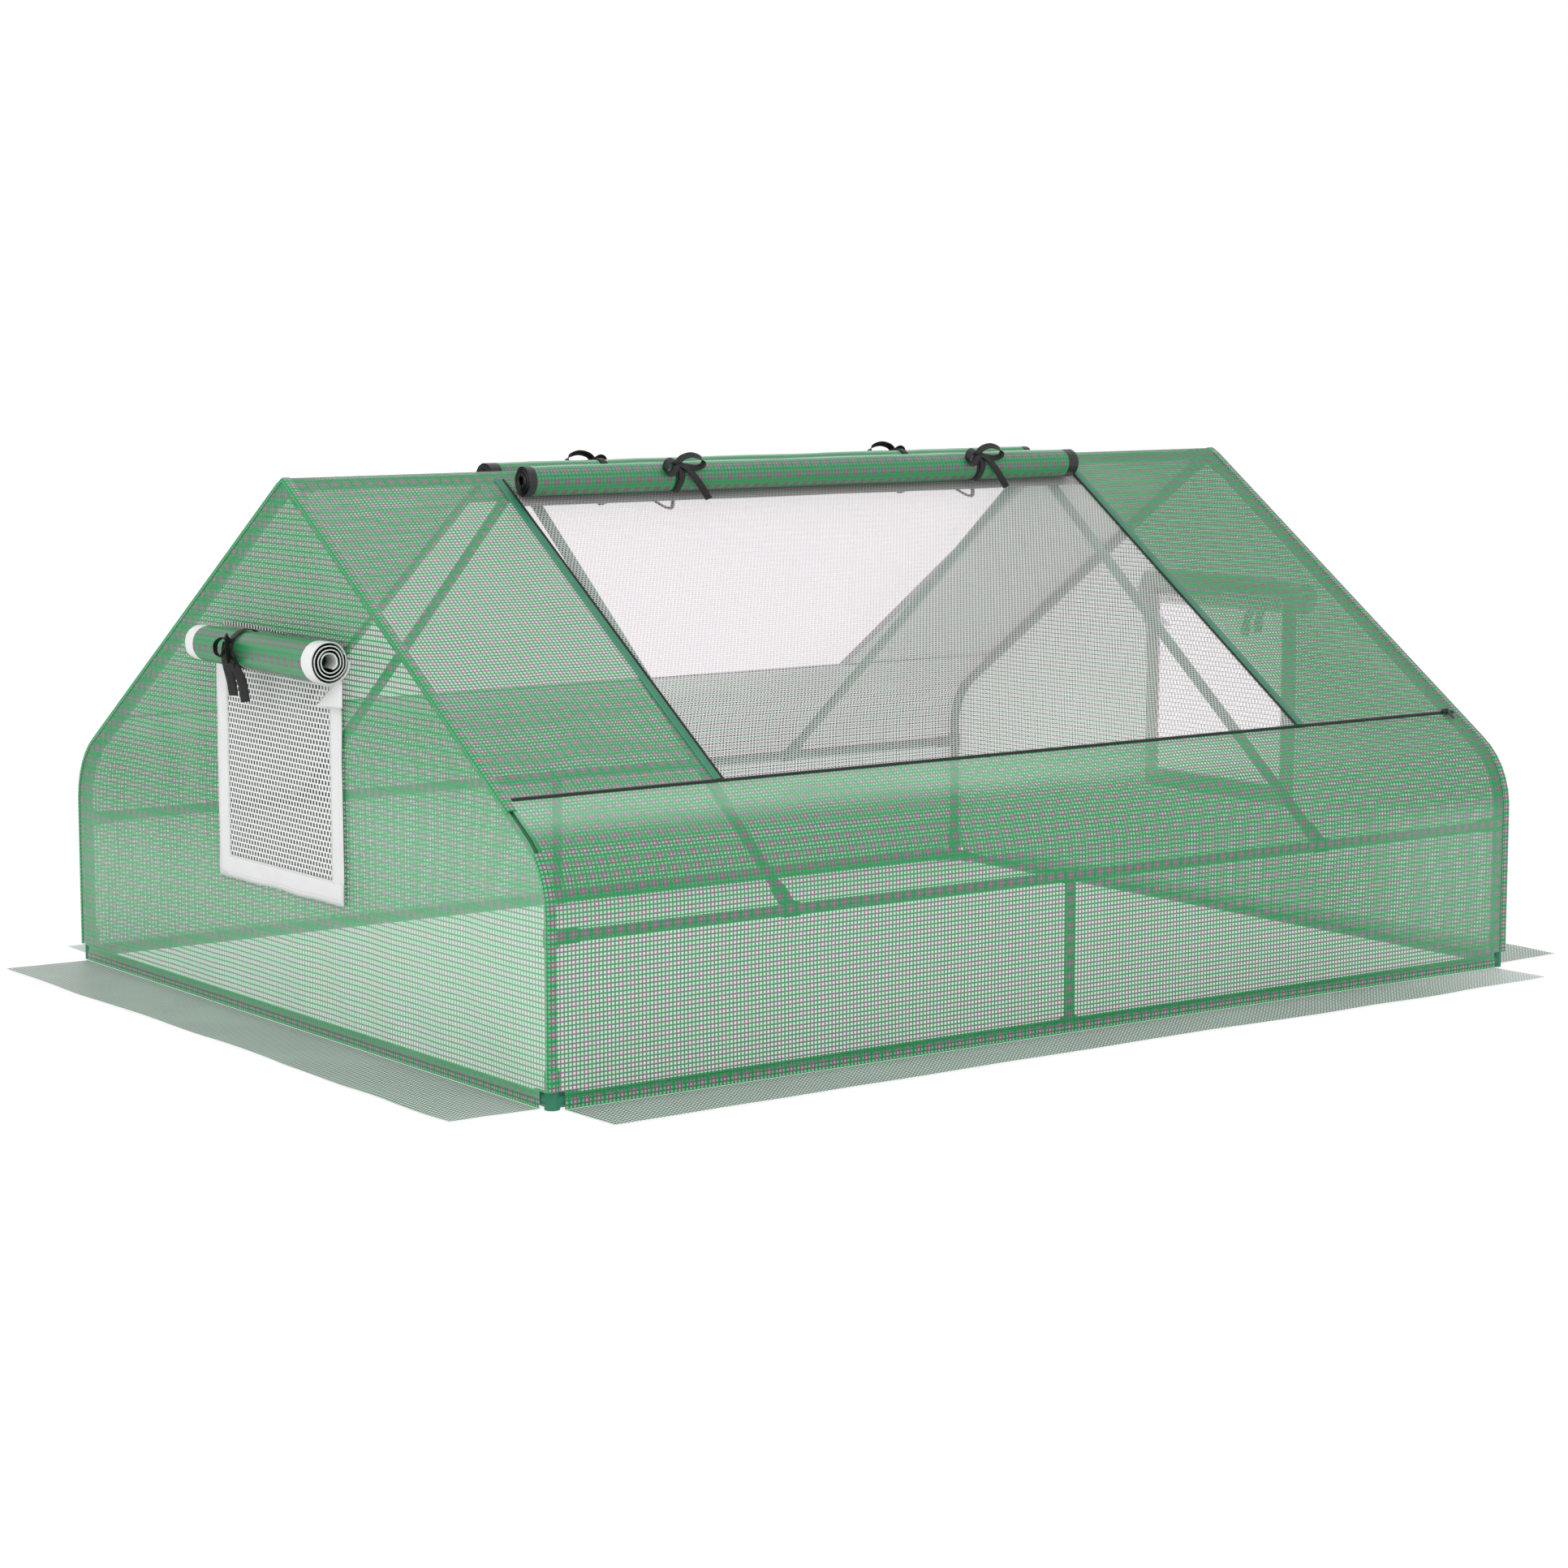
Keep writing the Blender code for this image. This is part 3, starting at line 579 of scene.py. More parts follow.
def flap_material():
    """The flaps' cloth, seen almost edge on: close dark threads with white between them, and painted shade along the
    fold at the hem.
    """
    material = new_material("flap_weave", linear("5E8F74"), 0.45)
    wire = Wiring(material)
    vector = wire.uv()
    u, v = wire.split(vector)
    threads = [wire.ripple(u, 0.0062, 0.50, 0.2), wire.ripple(v, 0.0062, 0.42, 0.2)]
    thread = wire.most(*threads)
    cloud = wire.noise(vector, 6.0, 3.0)
    strand = wire.mix(wire.step(cloud, 0.35, 0.7), linear("1E4C34"), linear("35694B"))
    # Painted shade along the fold at the hem: darker threads and more cover.
    fold = wire.step(v, 0.0, 0.035, 0.55, 0.0)
    strand = wire.mix(fold, strand, linear("2A3B31"))
    wire.shade("Base Color", wire.mix(thread, (0.72, 0.84, 0.76), strand))
    fade = wire.step(u, 0.55, 0.90, 1.0, 0.75)
    cover = wire.blend(thread, wire.math("ADD", 0.48, wire.times(fold, 0.4)), 0.92)
    wire.shade("Alpha", wire.times(cover, fade))
    wire.bump(thread, 0.35)
    return material


THREAD_ALPHA = 0.93
FILM_ALPHA = 0.46
SEAM_ALPHA = 0.82
# Share of the film's painted highlight, a pale sheen.
FILM_SHEEN_SHARE = 0.45
FILM_GREEN = (0.02, 0.62, 0.17)
# Colour of the film's painted highlight.
FILM_SHEEN = (0.35, 0.74, 0.49)
FILM_MAUVE = (0.54, 0.41, 0.48)
ROLL_GREEN = linear("359562")
ROLL_MAUVE = linear("857C81")
THREAD_GREEN = linear("2C8855")
THREAD_DARK = linear("227347")
THREAD_MAUVE = linear("6E6369")
# Colours of painted shade.
SHADED_GREEN = linear("1F8A4C")
SHADED_MAUVE = linear("5F575B")
# Colour of painted highlight.
HIGHLIGHT_GREEN = (0.50, 0.82, 0.60)
SIDE_WEAVE = ((0.0185, 0.0185), (0.60, 0.60), 0.40)
END_WEAVE = ((0.0205, 0.0225), (0.52, 0.55), 0.32)

materials = {}


def make_materials():
    wide, narrow = SIDE_WEAVE, END_WEAVE
    run, rise = cos(ROOF_RISE), sin(ROOF_RISE)
    black, white, teal = linear("0C0C0C"), linear("E6E6E6"), linear("267657")
    low, high = DOOR_ROLL_ENDS
    # In each roll's bands the second colour paints shade on the inner turns.
    door_bands = (low + 0.022, high - 0.021, linear("1A1A1A"), linear("060606"), (0.13, 9.0),
                  (low + 0.010, high - 0.002))
    high, low = (-end for end in WINDOW_ROLL_ENDS)
    window_bands = (low + 0.026, high - 0.030, white, linear("161616"), (0.150, 0.440),
                    (low + 0.0006, high - 0.0006))
    for key, weave, alpha, more in (
        ("cover", wide, FILM_ALPHA, {"shade": cover_shade}),
        ("gable", narrow, FILM_ALPHA, {"shade": gable_shade}),
        ("seam", wide, SEAM_ALPHA, {}),
        ("hem", wide, SEAM_ALPHA, {"inner": 0.2}),
        ("door_roll", wide, 1.0, {"bands": door_bands, "shade": roll_shade}),
        ("window_roll", narrow, 1.0, {"bands": window_bands, "shade": window_roll_shade}),
        ("front_door", wide, FILM_ALPHA, {"axes": ((1, 0, 0), (0, run, rise))}),
        ("back_door", wide, FILM_ALPHA, {"axes": ((1, 0, 0), (0, -run, rise))}),
        ("window", narrow, FILM_ALPHA, {"axes": ((0, 1, 0), (0, 0, 1))}),
    ):
        materials[key] = woven_material(f"{key}_weave", weave, alpha, **more)
    # In each mesh, the near-black colour paints shade in the openings.
    materials["roof_knit"] = knit_material(
        "roof_knit", (0.0060, 0.0046), (0.56, 0.58), (0.98, 0.87, 0.93), 0.44, (0.02,) * 3, 0.20, 0.20
    )
    materials["window_knit"] = knit_material(
        "window_knit", (0.0086, 0.0080), (0.56, 0.74), (0.90,) * 3, 0.97, (0.015,) * 3, 0.82, 0.03
    )
    binding = {"stitch_at": (0.003, 0.015), "edge": linear("3C9D78")}
    border = {"stitch_at": (0.003, 0.026), "edge": linear("C9C9C9")}
    materials["binding"] = plain_cloth("door_binding", teal, 0.5, **binding)
    materials["flap"] = flap_material()
    materials["header"] = plain_cloth("header_cloth", linear("8A908A"), 0.6)
    materials["border"] = plain_cloth("window_border", white, 0.6, **border)
    materials["lining"] = plain_cloth("roll_lining", white, 0.6)
    materials["ribbon"] = plain_cloth("ribbon_black", black, 0.55, weave=0.0009)
    materials["zip"] = moulded_plastic("zip_black", linear("2A2A2A"))
    materials["paint"] = painted_steel("frame_paint", linear("23734F"), linear("2F8A62"))
    materials["plastic"] = moulded_plastic("connector_plastic", linear("1A7558"))


# Geometry


def link(name, data):
    thing = bpy.data.objects.new(name, data)
    bpy.context.scene.collection.objects.link(thing)
    return thing


def grid_piece(name, us, vs, place, keep=None, uv=None):
    """A cloth surface over the grid us by vs, with its UV map in metres of cloth."""
    rows, columns = len(vs), len(us)
    faces = []
    for j in range(rows - 1):
        for i in range(columns - 1):
            if keep is None or keep((us[i] + us[i + 1]) / 2, (vs[j] + vs[j + 1]) / 2):
                low = j * columns + i
                faces.append((low, low + 1, low + columns + 1, low + columns))
    used = sorted({corner for face in faces for corner in face})
    index = {corner: number for number, corner in enumerate(used)}
    points = [place(us[corner % columns], vs[corner // columns]) for corner in used]
    mesh = bpy.data.meshes.new(name)
    mesh.from_pydata(points, [], [[index[corner] for corner in face] for face in faces])
    layer = mesh.uv_layers.new(name="weave")
    for face, polygon in zip(faces, mesh.polygons):
        for corner, loop in zip(face, polygon.loop_indices):
            u, v = us[corner % columns], vs[corner // columns]
            layer.data[loop].uv = uv(u, v) if uv else (u, v)
    mesh.shade_smooth()
    return link(name, mesh)


def wave(x, y, z):
    """Smooth noise between about -1 and 1."""
    return noise.noise(Vector((x, y, z)))


def stations(low, high, step, *stops):
    """Even steps from low to high that also pass exactly through the stops."""
    ends = sorted({low, high, *[stop for stop in stops if low < stop < high]})
    values = [low]
    for start, end in zip(ends, ends[1:]):
        count = max(1, round((end - start) / step))
        values += [start + (end - start) * number / count for number in range(1, count + 1)]
    return values


def opposite(text):
    """The name on the far side: front and back are exchanged, and left and right."""
    pairs = {"front": "back", "back": "front", "left": "right", "right": "left"}
    return "_".join(pairs.get(word, word) for word in text.split("_"))


def both(piece, body, material, slot, *replaced):
    """Finishes a piece, and makes the same one half turned about Z for the far side's body and nodes."""
    piece.data.materials.append(materials[material])
    twin = link(opposite(piece.name), piece.data.copy())
    twin.data.transform(TURN)
    for made, rename in ((piece, str), (twin, opposite)):
        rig.ride(made, rename(body))
        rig.slot(made, slot)
        if replaced:
            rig.replaces(made, *map(rename, replaced))
    return [piece, twin]


def join(name, pieces):
    """One mesh object from several, with their materials and UV maps kept."""
    bpy.ops.object.select_all(action="DESELECT")
    for piece in pieces:
        piece.select_set(True)
    bpy.context.view_layer.objects.active = pieces[0]
    bpy.ops.object.join()
    pieces[0].name = name
    pieces[0].data.name = name
    return pieces[0]


def thicken(piece, thickness, offset=0.0):
    """Gives a sheet its thickness, for one whose edge is seen."""
    modifier = piece.modifiers.new("Solidify", "SOLIDIFY")
    modifier.thickness = thickness
    modifier.offset = offset
    bpy.context.view_layer.objects.active = piece
    with bpy.context.temp_override(object=piece, active_object=piece):
        bpy.ops.object.modifier_apply(modifier=modifier.name)
    return piece


def smooth_step(value):
    value = min(1.0, max(0.0, value))
    return value * value * (3 - 2 * value)


def clear_of(value, lines, reach):
    """0 on any of the lines and 1 from reach away."""
    return smooth_step(min(abs(value - line) for line in lines) / reach)


ARC = (SHOULDER_RADIUS + COVER_OFFSET) * SHOULDER_TURN
WALL = SHOULDER_START - HEM_Z
APEX = COVER_OFFSET * ROOF_RISE
SIDE_LENGTH = WALL + ARC + SLOPE_LENGTH + APEX


def half_section(along):
    """(y, z, normal y, normal z) of the back half of the cover, along it from the hem to the ridge."""
    if along < WALL:
        return FRAME_Y + COVER_OFFSET, HEM_Z + along, 1.0, 0.0
    along -= WALL
    if along < ARC:
        angle = along / (SHOULDER_RADIUS + COVER_OFFSET)
        radius = SHOULDER_RADIUS + COVER_OFFSET
        ny, nz = cos(angle), sin(angle)
        return FRAME_Y - SHOULDER_RADIUS + radius * ny, SHOULDER_START + radius * nz, ny, nz
    along -= ARC
    ny, nz = sin(ROOF_RISE), cos(ROOF_RISE)
    if along < SLOPE_LENGTH:
        down = SLOPE_LENGTH - along
        y = down * cos(ROOF_RISE) + COVER_OFFSET * ny
        return y, RIDGE_Z - down * sin(ROOF_RISE) + COVER_OFFSET * nz, ny, nz
    angle = ROOF_RISE - (along - SLOPE_LENGTH) / COVER_OFFSET
    ny, nz = sin(max(0.0, angle)), cos(max(0.0, angle))
    return COVER_OFFSET * ny, RIDGE_Z + COVER_OFFSET * nz, ny, nz


def cover_point(x, along, rise=0.0):
    """A point of the cover. along runs from the front hem over the ridge to the back hem."""
    side = -1 if along <= SIDE_LENGTH else 1
    y, z, ny, nz = half_section(min(along, 2 * SIDE_LENGTH - along))
    return Vector((x, side * (y + rise * ny), z + rise * nz))


def along_at(down):
    """The distance along the front cover, from its hem, of a point this far down the slope."""
    return WALL + ARC + SLOPE_LENGTH - down


def cover_slack(x, along):
    """How far the cloth stands off its taut shape: it sags between the tubes and lies tight on them."""
    seed = 0.0 if along <= SIDE_LENGTH else 37.0
    run = min(along, 2 * SIDE_LENGTH - along)
    tubes = (-FRAME_X - 0.01, -RAFTER_X, RAFTER_X, FRAME_X + 0.01)
    if run < WALL:
        posts = (-FRAME_X - 0.01, 0.0, FRAME_X + 0.01)
        free = clear_of(x, posts, 0.10) * clear_of(run, (0.0, MID_RAIL_Z, WALL), 0.05)
        fold = wave(x * 7, run * 9, seed + 5) * 0.0016
        return free * (fold - 0.0008)
    free = clear_of(x, tubes, 0.09) * clear_of(run, (WALL, SIDE_LENGTH), 0.08)
    free *= clear_of(x, (-DOOR_HALF - 0.010, DOOR_HALF + 0.010), 0.035)
    free *= clear_of(run, (along_at(ZIP_DOWN),), 0.035)
    broad = wave(x * 4.5, run * 3.5, seed + 11)
    fine = wave(x * 15 + run * 6, run * 8, seed + 17)
    crease = abs(wave(x * 9 - run * 4, run * 3, seed + 23))
    return free * (0.0045 * broad + 0.0015 * fine - 0.004 * crease + 0.0006)


def make_cover():
    edge = LENGTH / 2 - 0.0006
    door = (along_at(ZIP_DOWN - ZIP_WIDTH / 2), along_at(DOOR_TOP))
    doors = (door, (2 * SIDE_LENGTH - door[1], 2 * SIDE_LENGTH - door[0]))
    stops = [-edge + SEAM_GAP_WIDTH, -edge + CORNER_NOTCH, edge - CORNER_NOTCH, -DOOR_HALF, DOOR_HALF]
    us = stations(-edge, edge, STEP, *stops)
    stops = [CORNER_NOTCH, WALL, *SEAM_GAP, WALL + ARC, *door, SIDE_LENGTH - APEX, SIDE_LENGTH]
    vs = stations(0, 2 * SIDE_LENGTH, STEP, *stops, *[2 * SIDE_LENGTH - stop for stop in stops])

    def keep(x, along):
        run = min(along, 2 * SIDE_LENGTH - along)
        in_door = abs(x) < DOOR_HALF and any(low < along < high for low, high in doors)
        in_notch = abs(x) > edge - CORNER_NOTCH and run < CORNER_NOTCH
        in_gap = SEAM_GAP[0] < along < SEAM_GAP[1] and x < -edge + SEAM_GAP_WIDTH
        return not in_door and not in_notch and not in_gap

    def place(x, along):
        return cover_point(x, along, cover_slack(x, along) - SHEET / 2)

    piece = grid_piece("side_and_roof_cover", us, vs, place, keep)
    piece.data.materials.append(materials["cover"])
    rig.ride(piece, "root")
    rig.slot(piece, "cover")
    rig.replaces(piece, "front_cover", "back_cover")
    opening = 2 * DOOR_HALF * (door[1] - door[0])
    flat = (2 * edge, 2 * SIDE_LENGTH)
    area = flat[0] * flat[1] - 2 * opening - 4 * CORNER_NOTCH ** 2
    rests = ["ridge_pole", "rafter_front_left", "hip_tube_front_left"]
    return piece, flat, area, rests


def gable_top(y):
    """Height of the cover's inner face over the end, at this distance from the middle."""
    low, high = 0.0, SIDE_LENGTH
    for _ in range(30):
        middle = (low + high) / 2
        if half_section(middle)[0] > abs(y) or middle < WALL:
            low = middle
        else:
            high = middle
    return half_section(low)[1]


def make_gable():
    """The left end: vertical strips that stop at the roof line, with the window cut out."""
    edge = FRAME_Y + COVER_OFFSET - 0.0006
    stops = [-edge + CORNER_NOTCH, edge - CORNER_NOTCH, 0.0, *[-y for y in WINDOW_Y]]
    us = stations(-edge, edge, STEP, *stops)
    heights = stations(HEM_Z, HEIGHT, STEP, CORNER_NOTCH, *WINDOW_Z)

    def keep(u, z):
        in_window = WINDOW_Y[0] < -u < WINDOW_Y[1] and WINDOW_Z[0] < z < WINDOW_Z[1]
        in_notch = abs(u) > edge - CORNER_NOTCH and z < CORNER_NOTCH
        return not in_window and not in_notch and z < gable_top(u) + 0.008

    def place(u, z):
        z = min(z, gable_top(u) - 0.0008)
        free = clear_of(z, (0.0,), 0.06) * smooth_step((gable_top(u) - z) / 0.07)
        free *= smooth_step((edge - abs(u)) / 0.08)
        hang = wave(u * 13, z * 2.6, 3.1)
        broad = wave(u * 4, z * 4, 7.7)
        crease = abs(wave(u * 7 + z * 5, z * 3, 12.3))
        rise = free * (0.0032 * hang + 0.004 * broad - 0.004 * crease + 0.0008)
        return Vector((-LENGTH / 2 + SHEET / 2 - rise, -u, z))

    piece = grid_piece("left_gable_cover", us, heights, place, keep)
    area = sum(polygon.area for polygon in piece.data.polygons)
    return both(piece, "root", "gable", "cover", "left_end_cover"), (2 * edge, HEIGHT), area


def hip_strip(name, across):
    """A tape folded round the corner between the left end and the cover, from hem to hem.

    across lists (inward, down) of the strip's cross-section, from the roof's side to the end's.
    """
    stops = [WALL, WALL + ARC, SIDE_LENGTH - APEX, SIDE_LENGTH, *SEAM_GAP]
    vs = stations(CORNER_NOTCH, 2 * SIDE_LENGTH - CORNER_NOTCH, 0.02, *stops)
    reach = [0.0]
    for first, second in zip(across, across[1:]):
        reach.append(reach[-1] + dist(first, second))
    section = dict(zip(reach, across))

    def place(u, along):
        inward, down = section[u]
        return cover_point(inward - LENGTH / 2, along, 0.0006 - down)

    def keep(u, along):
        return not SEAM_GAP[0] < along < SEAM_GAP[1]

    return grid_piece(name, reach, vs, place, keep, uv=lambda u, v: (u + 0.0035, v))


def make_bindings():
    """Seam tapes over both hips, and a turned-up hem along the bottom of each wall."""
    across = [(0.0125, 0.0), (0.007, -0.0003), (0.002, -0.0002), (0.0003, 0.0), (-0.0005, 0.0008)]
    across += [(-0.0008, 0.003), (-0.0006, 0.006)]
    hips = both(hip_strip("left_hip_seam", across), "root", "seam", "cover")
    hems = []
    for name, half, place in (
        ("front_hem", FRAME_X, lambda u, out, z: (u, -WIDTH / 2 - out, z)),
        ("left_hem", FRAME_Y, lambda u, out, z: (-LENGTH / 2 - out, -u, z)),
    ):
        def hem(u, z, place=place):
            bulge = 0.0003 * sin(pi * (z - HEM_Z) / HEM_HEIGHT) + 0.0001 * sin(u * 23)
            return place(u, 0.0004 + bulge, z)

        inner = half + COVER_OFFSET - CORNER_NOTCH
        heights = [HEM_Z, 0.004, 0.009, HEM_HEIGHT]
        piece = grid_piece(name, stations(-inner, inner, 0.02), heights, hem)
        hems += both(piece, "root", "hem", "cover")
    return hips, hems


# Zips and the doors' bindings


def boxes(name, frames, size):
    """Many small blocks with chamfered tops, one at each frame."""
    x, y, z = (value / 2 for value in size)
    shape = [(-x, -y, -z), (x, -y, -z), (x, y, -z), (-x, y, -z)]
    shape += [(0.7 * corner[0], 0.8 * corner[1], z) for corner in shape]
    sides = [(0, 3, 2, 1), (4, 5, 6, 7), (0, 1, 5, 4), (1, 2, 6, 5), (2, 3, 7, 6), (3, 0, 4, 7)]
    points, faces = [], []
    for number, matrix in enumerate(frames):
        points += [matrix @ Vector(corner) for corner in shape]
        faces += [[8 * number + corner for corner in face] for face in sides]
    mesh = bpy.data.meshes.new(name)
    mesh.from_pydata(points, [], faces)
    mesh.uv_layers.new(name="weave")
    return link(name, mesh)


def roof_frame(x, down, rise):
    """Axes on the front slope, rise above the cover: local Y runs up the slope, local Z out."""
    along = along_at(down)
    place = Matrix.Translation(cover_point(x, along, rise))
    return place @ Matrix.Rotation(ROOF_RISE, 4, "X")


def wall_frame(y, z, rise):
    """Axes on the left end, rise outside it: local X runs to -Y, local Y up and local Z out."""
    turn = Matrix(((0, 0, -1), (-1, 0, 0), (0, 1, 0))).to_4x4()
    return Matrix.Translation((-LENGTH / 2 - rise, y, z)) @ turn


def make_zips():
    pitch = 0.0026
    top = DOOR_TOP - 0.012
    rise = 0.0007
    tooth = rise + 0.0006

    def tape(name, us, vs):
        return grid_piece(name, us, vs, lambda x, down: cover_point(x, along_at(down), rise))

    low, high = ZIP_DOWN - ZIP_WIDTH / 2, ZIP_DOWN + ZIP_WIDTH / 2
    pieces = [tape("tape", stations(-ZIP_HALF_LENGTH, ZIP_HALF_LENGTH, 0.03), [high, ZIP_DOWN, low])]
    frames = []
    for number in range(int(2 * ZIP_HALF_LENGTH / pitch)):
        x = -ZIP_HALF_LENGTH + (number + 0.5) * pitch
        shift = 0.0006 if number % 2 else -0.0006
        frames.append(roof_frame(x, ZIP_DOWN + shift, tooth))
    pieces.append(boxes("teeth", frames, (pitch * 0.72, 0.0036, 0.0012)))
    frames = []
    for side in (-1, 1):
        x = side * (DOOR_HALF + 0.0022)
        pieces.append(tape("side_tape", [x - 0.0024, x, x + 0.0024], stations(top, low, 0.03)[::-1]))
        for number in range(int((low - top) / pitch)):
            shift = 0.0005 if number % 2 else -0.0005
            frames.append(roof_frame(x + shift, top + (number + 0.5) * pitch, tooth))
    pieces.append(boxes("side_teeth", frames, (0.0030, pitch * 0.72, 0.0012)))
    chains = both(join("front_door_zip", pieces), "root", "zip", "zip", "front_zip")

    strips = []
    for side in (-1, 1):
        outer = side * (DOOR_HALF + DOOR_TAPE_WIDTH)
        inner = side * (DOOR_HALF + 0.0048)
        us = stations(min(inner, outer), max(inner, outer), 0.0026)

        def place(x, down, side=side):
            across = (abs(x) - DOOR_HALF) / DOOR_TAPE_WIDTH
            crown = 0.0009 * sin(pi * min(1.0, max(0.0, across)))
            ripple = 0.0004 * wave(side * 3, down * 30, x * 50)
            return cover_point(x, along_at(down), 0.0006 + crown + ripple)

        vs = stations(top, low, STEP)[::-1]
        strips.append(grid_piece("strip", us, vs, place, uv=lambda x, down: (down, abs(x) - DOOR_HALF)))
    return chains, both(join("front_door_binding", strips), "root", "binding", "cover")


def make_sliders():
    """A zip slider with its bridge, and a pull that hangs down the slope."""
    base = roof_frame(SLIDER_X, ZIP_DOWN, 0.0036)
    half_body = (0.0070, 0.0044, 0.0020)

    def body(u, v):
        x = half_body[0] * u * (1 - 0.18 * abs(v) ** 3)
        y = half_body[1] * v * (1 - 0.35 * max(0.0, u) ** 2)
        return x, y

    pieces = []
    steps = [-1 + 2 * k / 8 for k in range(9)]
    for sign in (1, -1):
        def face(u, v, sign=sign):
            x, y = body(u, v)
            z = sign * half_body[2] * (1 - 0.35 * max(abs(u), abs(v)) ** 4)
            return base @ Vector((x, y, z))
        us = steps if sign > 0 else steps[::-1]
        pieces.append(grid_piece("slider_face", us, steps, face))
    rim = [(u, -1) for u in steps[:-1]] + [(1, v) for v in steps[:-1]]
    rim += [(u, 1) for u in steps[:0:-1]] + [(-1, v) for v in steps[:0:-1]]

    def side(u, v):
        x, y = body(*rim[int(round(u)) % len(rim)])
        return base @ Vector((x, y, v * half_body[2] * 0.65))

    pieces.append(grid_piece("slider_side", list(range(len(rim) + 1)), [-1, 0, 1], side))

    def bridge(u, v):
        x = 0.0042 * cos(pi * (1 - u))
        z = half_body[2] * 0.8 + 0.0026 * sin(pi * u)
        return base @ Vector((x, 0.0011 * v, z))

    pieces.append(thicken(grid_piece("bridge", [k / 10 for k in range(11)], [-1, 0, 1], bridge), 0.0007))

    def pull(u, v):
        neck = 0.55 + 0.45 * smooth_step((v - 0.15) / 0.2)
        tip = sqrt(max(0.0, 1 - max(0.0, (v - 0.86) / 0.14) ** 2)) if v > 0.86 else 1.0
        x = 0.0030 * u * neck * max(0.25, tip)
        y = -0.0010 - 0.0200 * v
        z = half_body[2] * 0.9 + 0.0010 - 0.0012 * v
        return base @ Vector((x, y, z))

    def solid_pull(u, v):
        return not (abs(u) < 0.5 and 0.04 < v < 0.13)

    us = [-1, -0.5, 0, 0.5, 1]
    vs = [k / 24 for k in range(25)][::-1]
    pieces.append(thicken(grid_piece("pull", us, vs, pull, solid_pull), 0.0010))
    both(join("front_zip_puller", pieces), "front_slider", "zip", "zip", "front_zip_slider")


# Mesh screens


def make_roof_meshes():
    top, bottom = along_at(DOOR_TOP - SCREEN_LAP), along_at(ZIP_DOWN + SCREEN_LAP)
    half = DOOR_HALF + SCREEN_LAP
    depth = -SHEET - GAP - SCREEN / 2

    def place(x, along):
        free = clear_of(x, (-half, -RAFTER_X, RAFTER_X, half), 0.12) * clear_of(along, (top, bottom), 0.10)
        sag = wave(x * 5, along * 5, 2.2) * 0.0012 - 0.0016
        return cover_point(x, along, depth + free * sag)

    roof = grid_piece("front_roof_mesh", stations(-half, half, 0.02), stations(bottom, top, 0.02), place)
    flat = (2 * half, top - bottom)
    return both(roof, "root", "roof_knit", "roof_screen", "front_roof_screen"), flat


def make_window_meshes():
    """The mesh of each end window, sewn behind a white border on three sides."""
    low_u, high_u = -WINDOW_Y[1], -WINDOW_Y[0]
    outer = -LENGTH / 2

    def window(u, z):
        free = clear_of(u, (low_u, high_u), 0.05) * clear_of(z, WINDOW_Z, 0.05)
        bow = 0.0015 * wave(u * 9, z * 9, 4.0)
        z += 0.010 * smooth_step((z - WINDOW_Z[1]) / 0.018) * smooth_step(0.5 - u / 0.2)
        return outer - 0.0008 - free * (0.0012 + bow), -u, z

    us = stations(low_u - 0.006, high_u + 0.006, 0.015)
    vs = stations(WINDOW_Z[0] - 0.006, WINDOW_Z[1] + 0.018, 0.015)
    net = grid_piece("left_window_mesh", us, vs, window)
    nets = both(net, "root", "window_knit", "window_screen", "left_window_screen")
    flat = (us[-1] - us[0], vs[-1] - vs[0])

    inner = 0.004
    width = BORDER + inner

    def edge(value, seed, across):
        return 0.0022 * wave(value * 14, seed, 1.0) * across

    def swell(value, seed, across, size):
        return 0.0010 * sin(pi * across) + size * wave(value * 18, seed, 6)

    def sill(u, across):
        z = WINDOW_Z[0] + inner - across * width + edge(u, 9, across)
        return outer - 0.0018 - swell(u, 2, across, 0.0005), -u, z

    shares = [0, 0.2, 0.4, 0.6, 0.8, 1]
    sides = []
    for sign, at in ((-1, low_u), (1, high_u)):
        def upright(across, z, sign=sign, at=at):
            u = at + sign * (across * width - inner) + edge(z, 3 + sign, across)
            return outer - 0.0014 - swell(z, sign, across, 0.0008), -u, z

        heights = stations(WINDOW_Z[0] - BORDER, WINDOW_Z[1] + 0.012, 0.015)
        sides.append(grid_piece("upright", shares[::sign], heights, upright,
                                uv=lambda across, z: (z, across * width)))
    us = stations(low_u - BORDER, high_u + BORDER, 0.015)
    sides.append(grid_piece("sill", us, shares[::-1], sill, uv=lambda u, across: (u, across * width)))
    border = thicken(join("left_window_border", sides), 0.0008)
    return nets, flat, both(border, "root", "border", "window_screen")


# Rolls


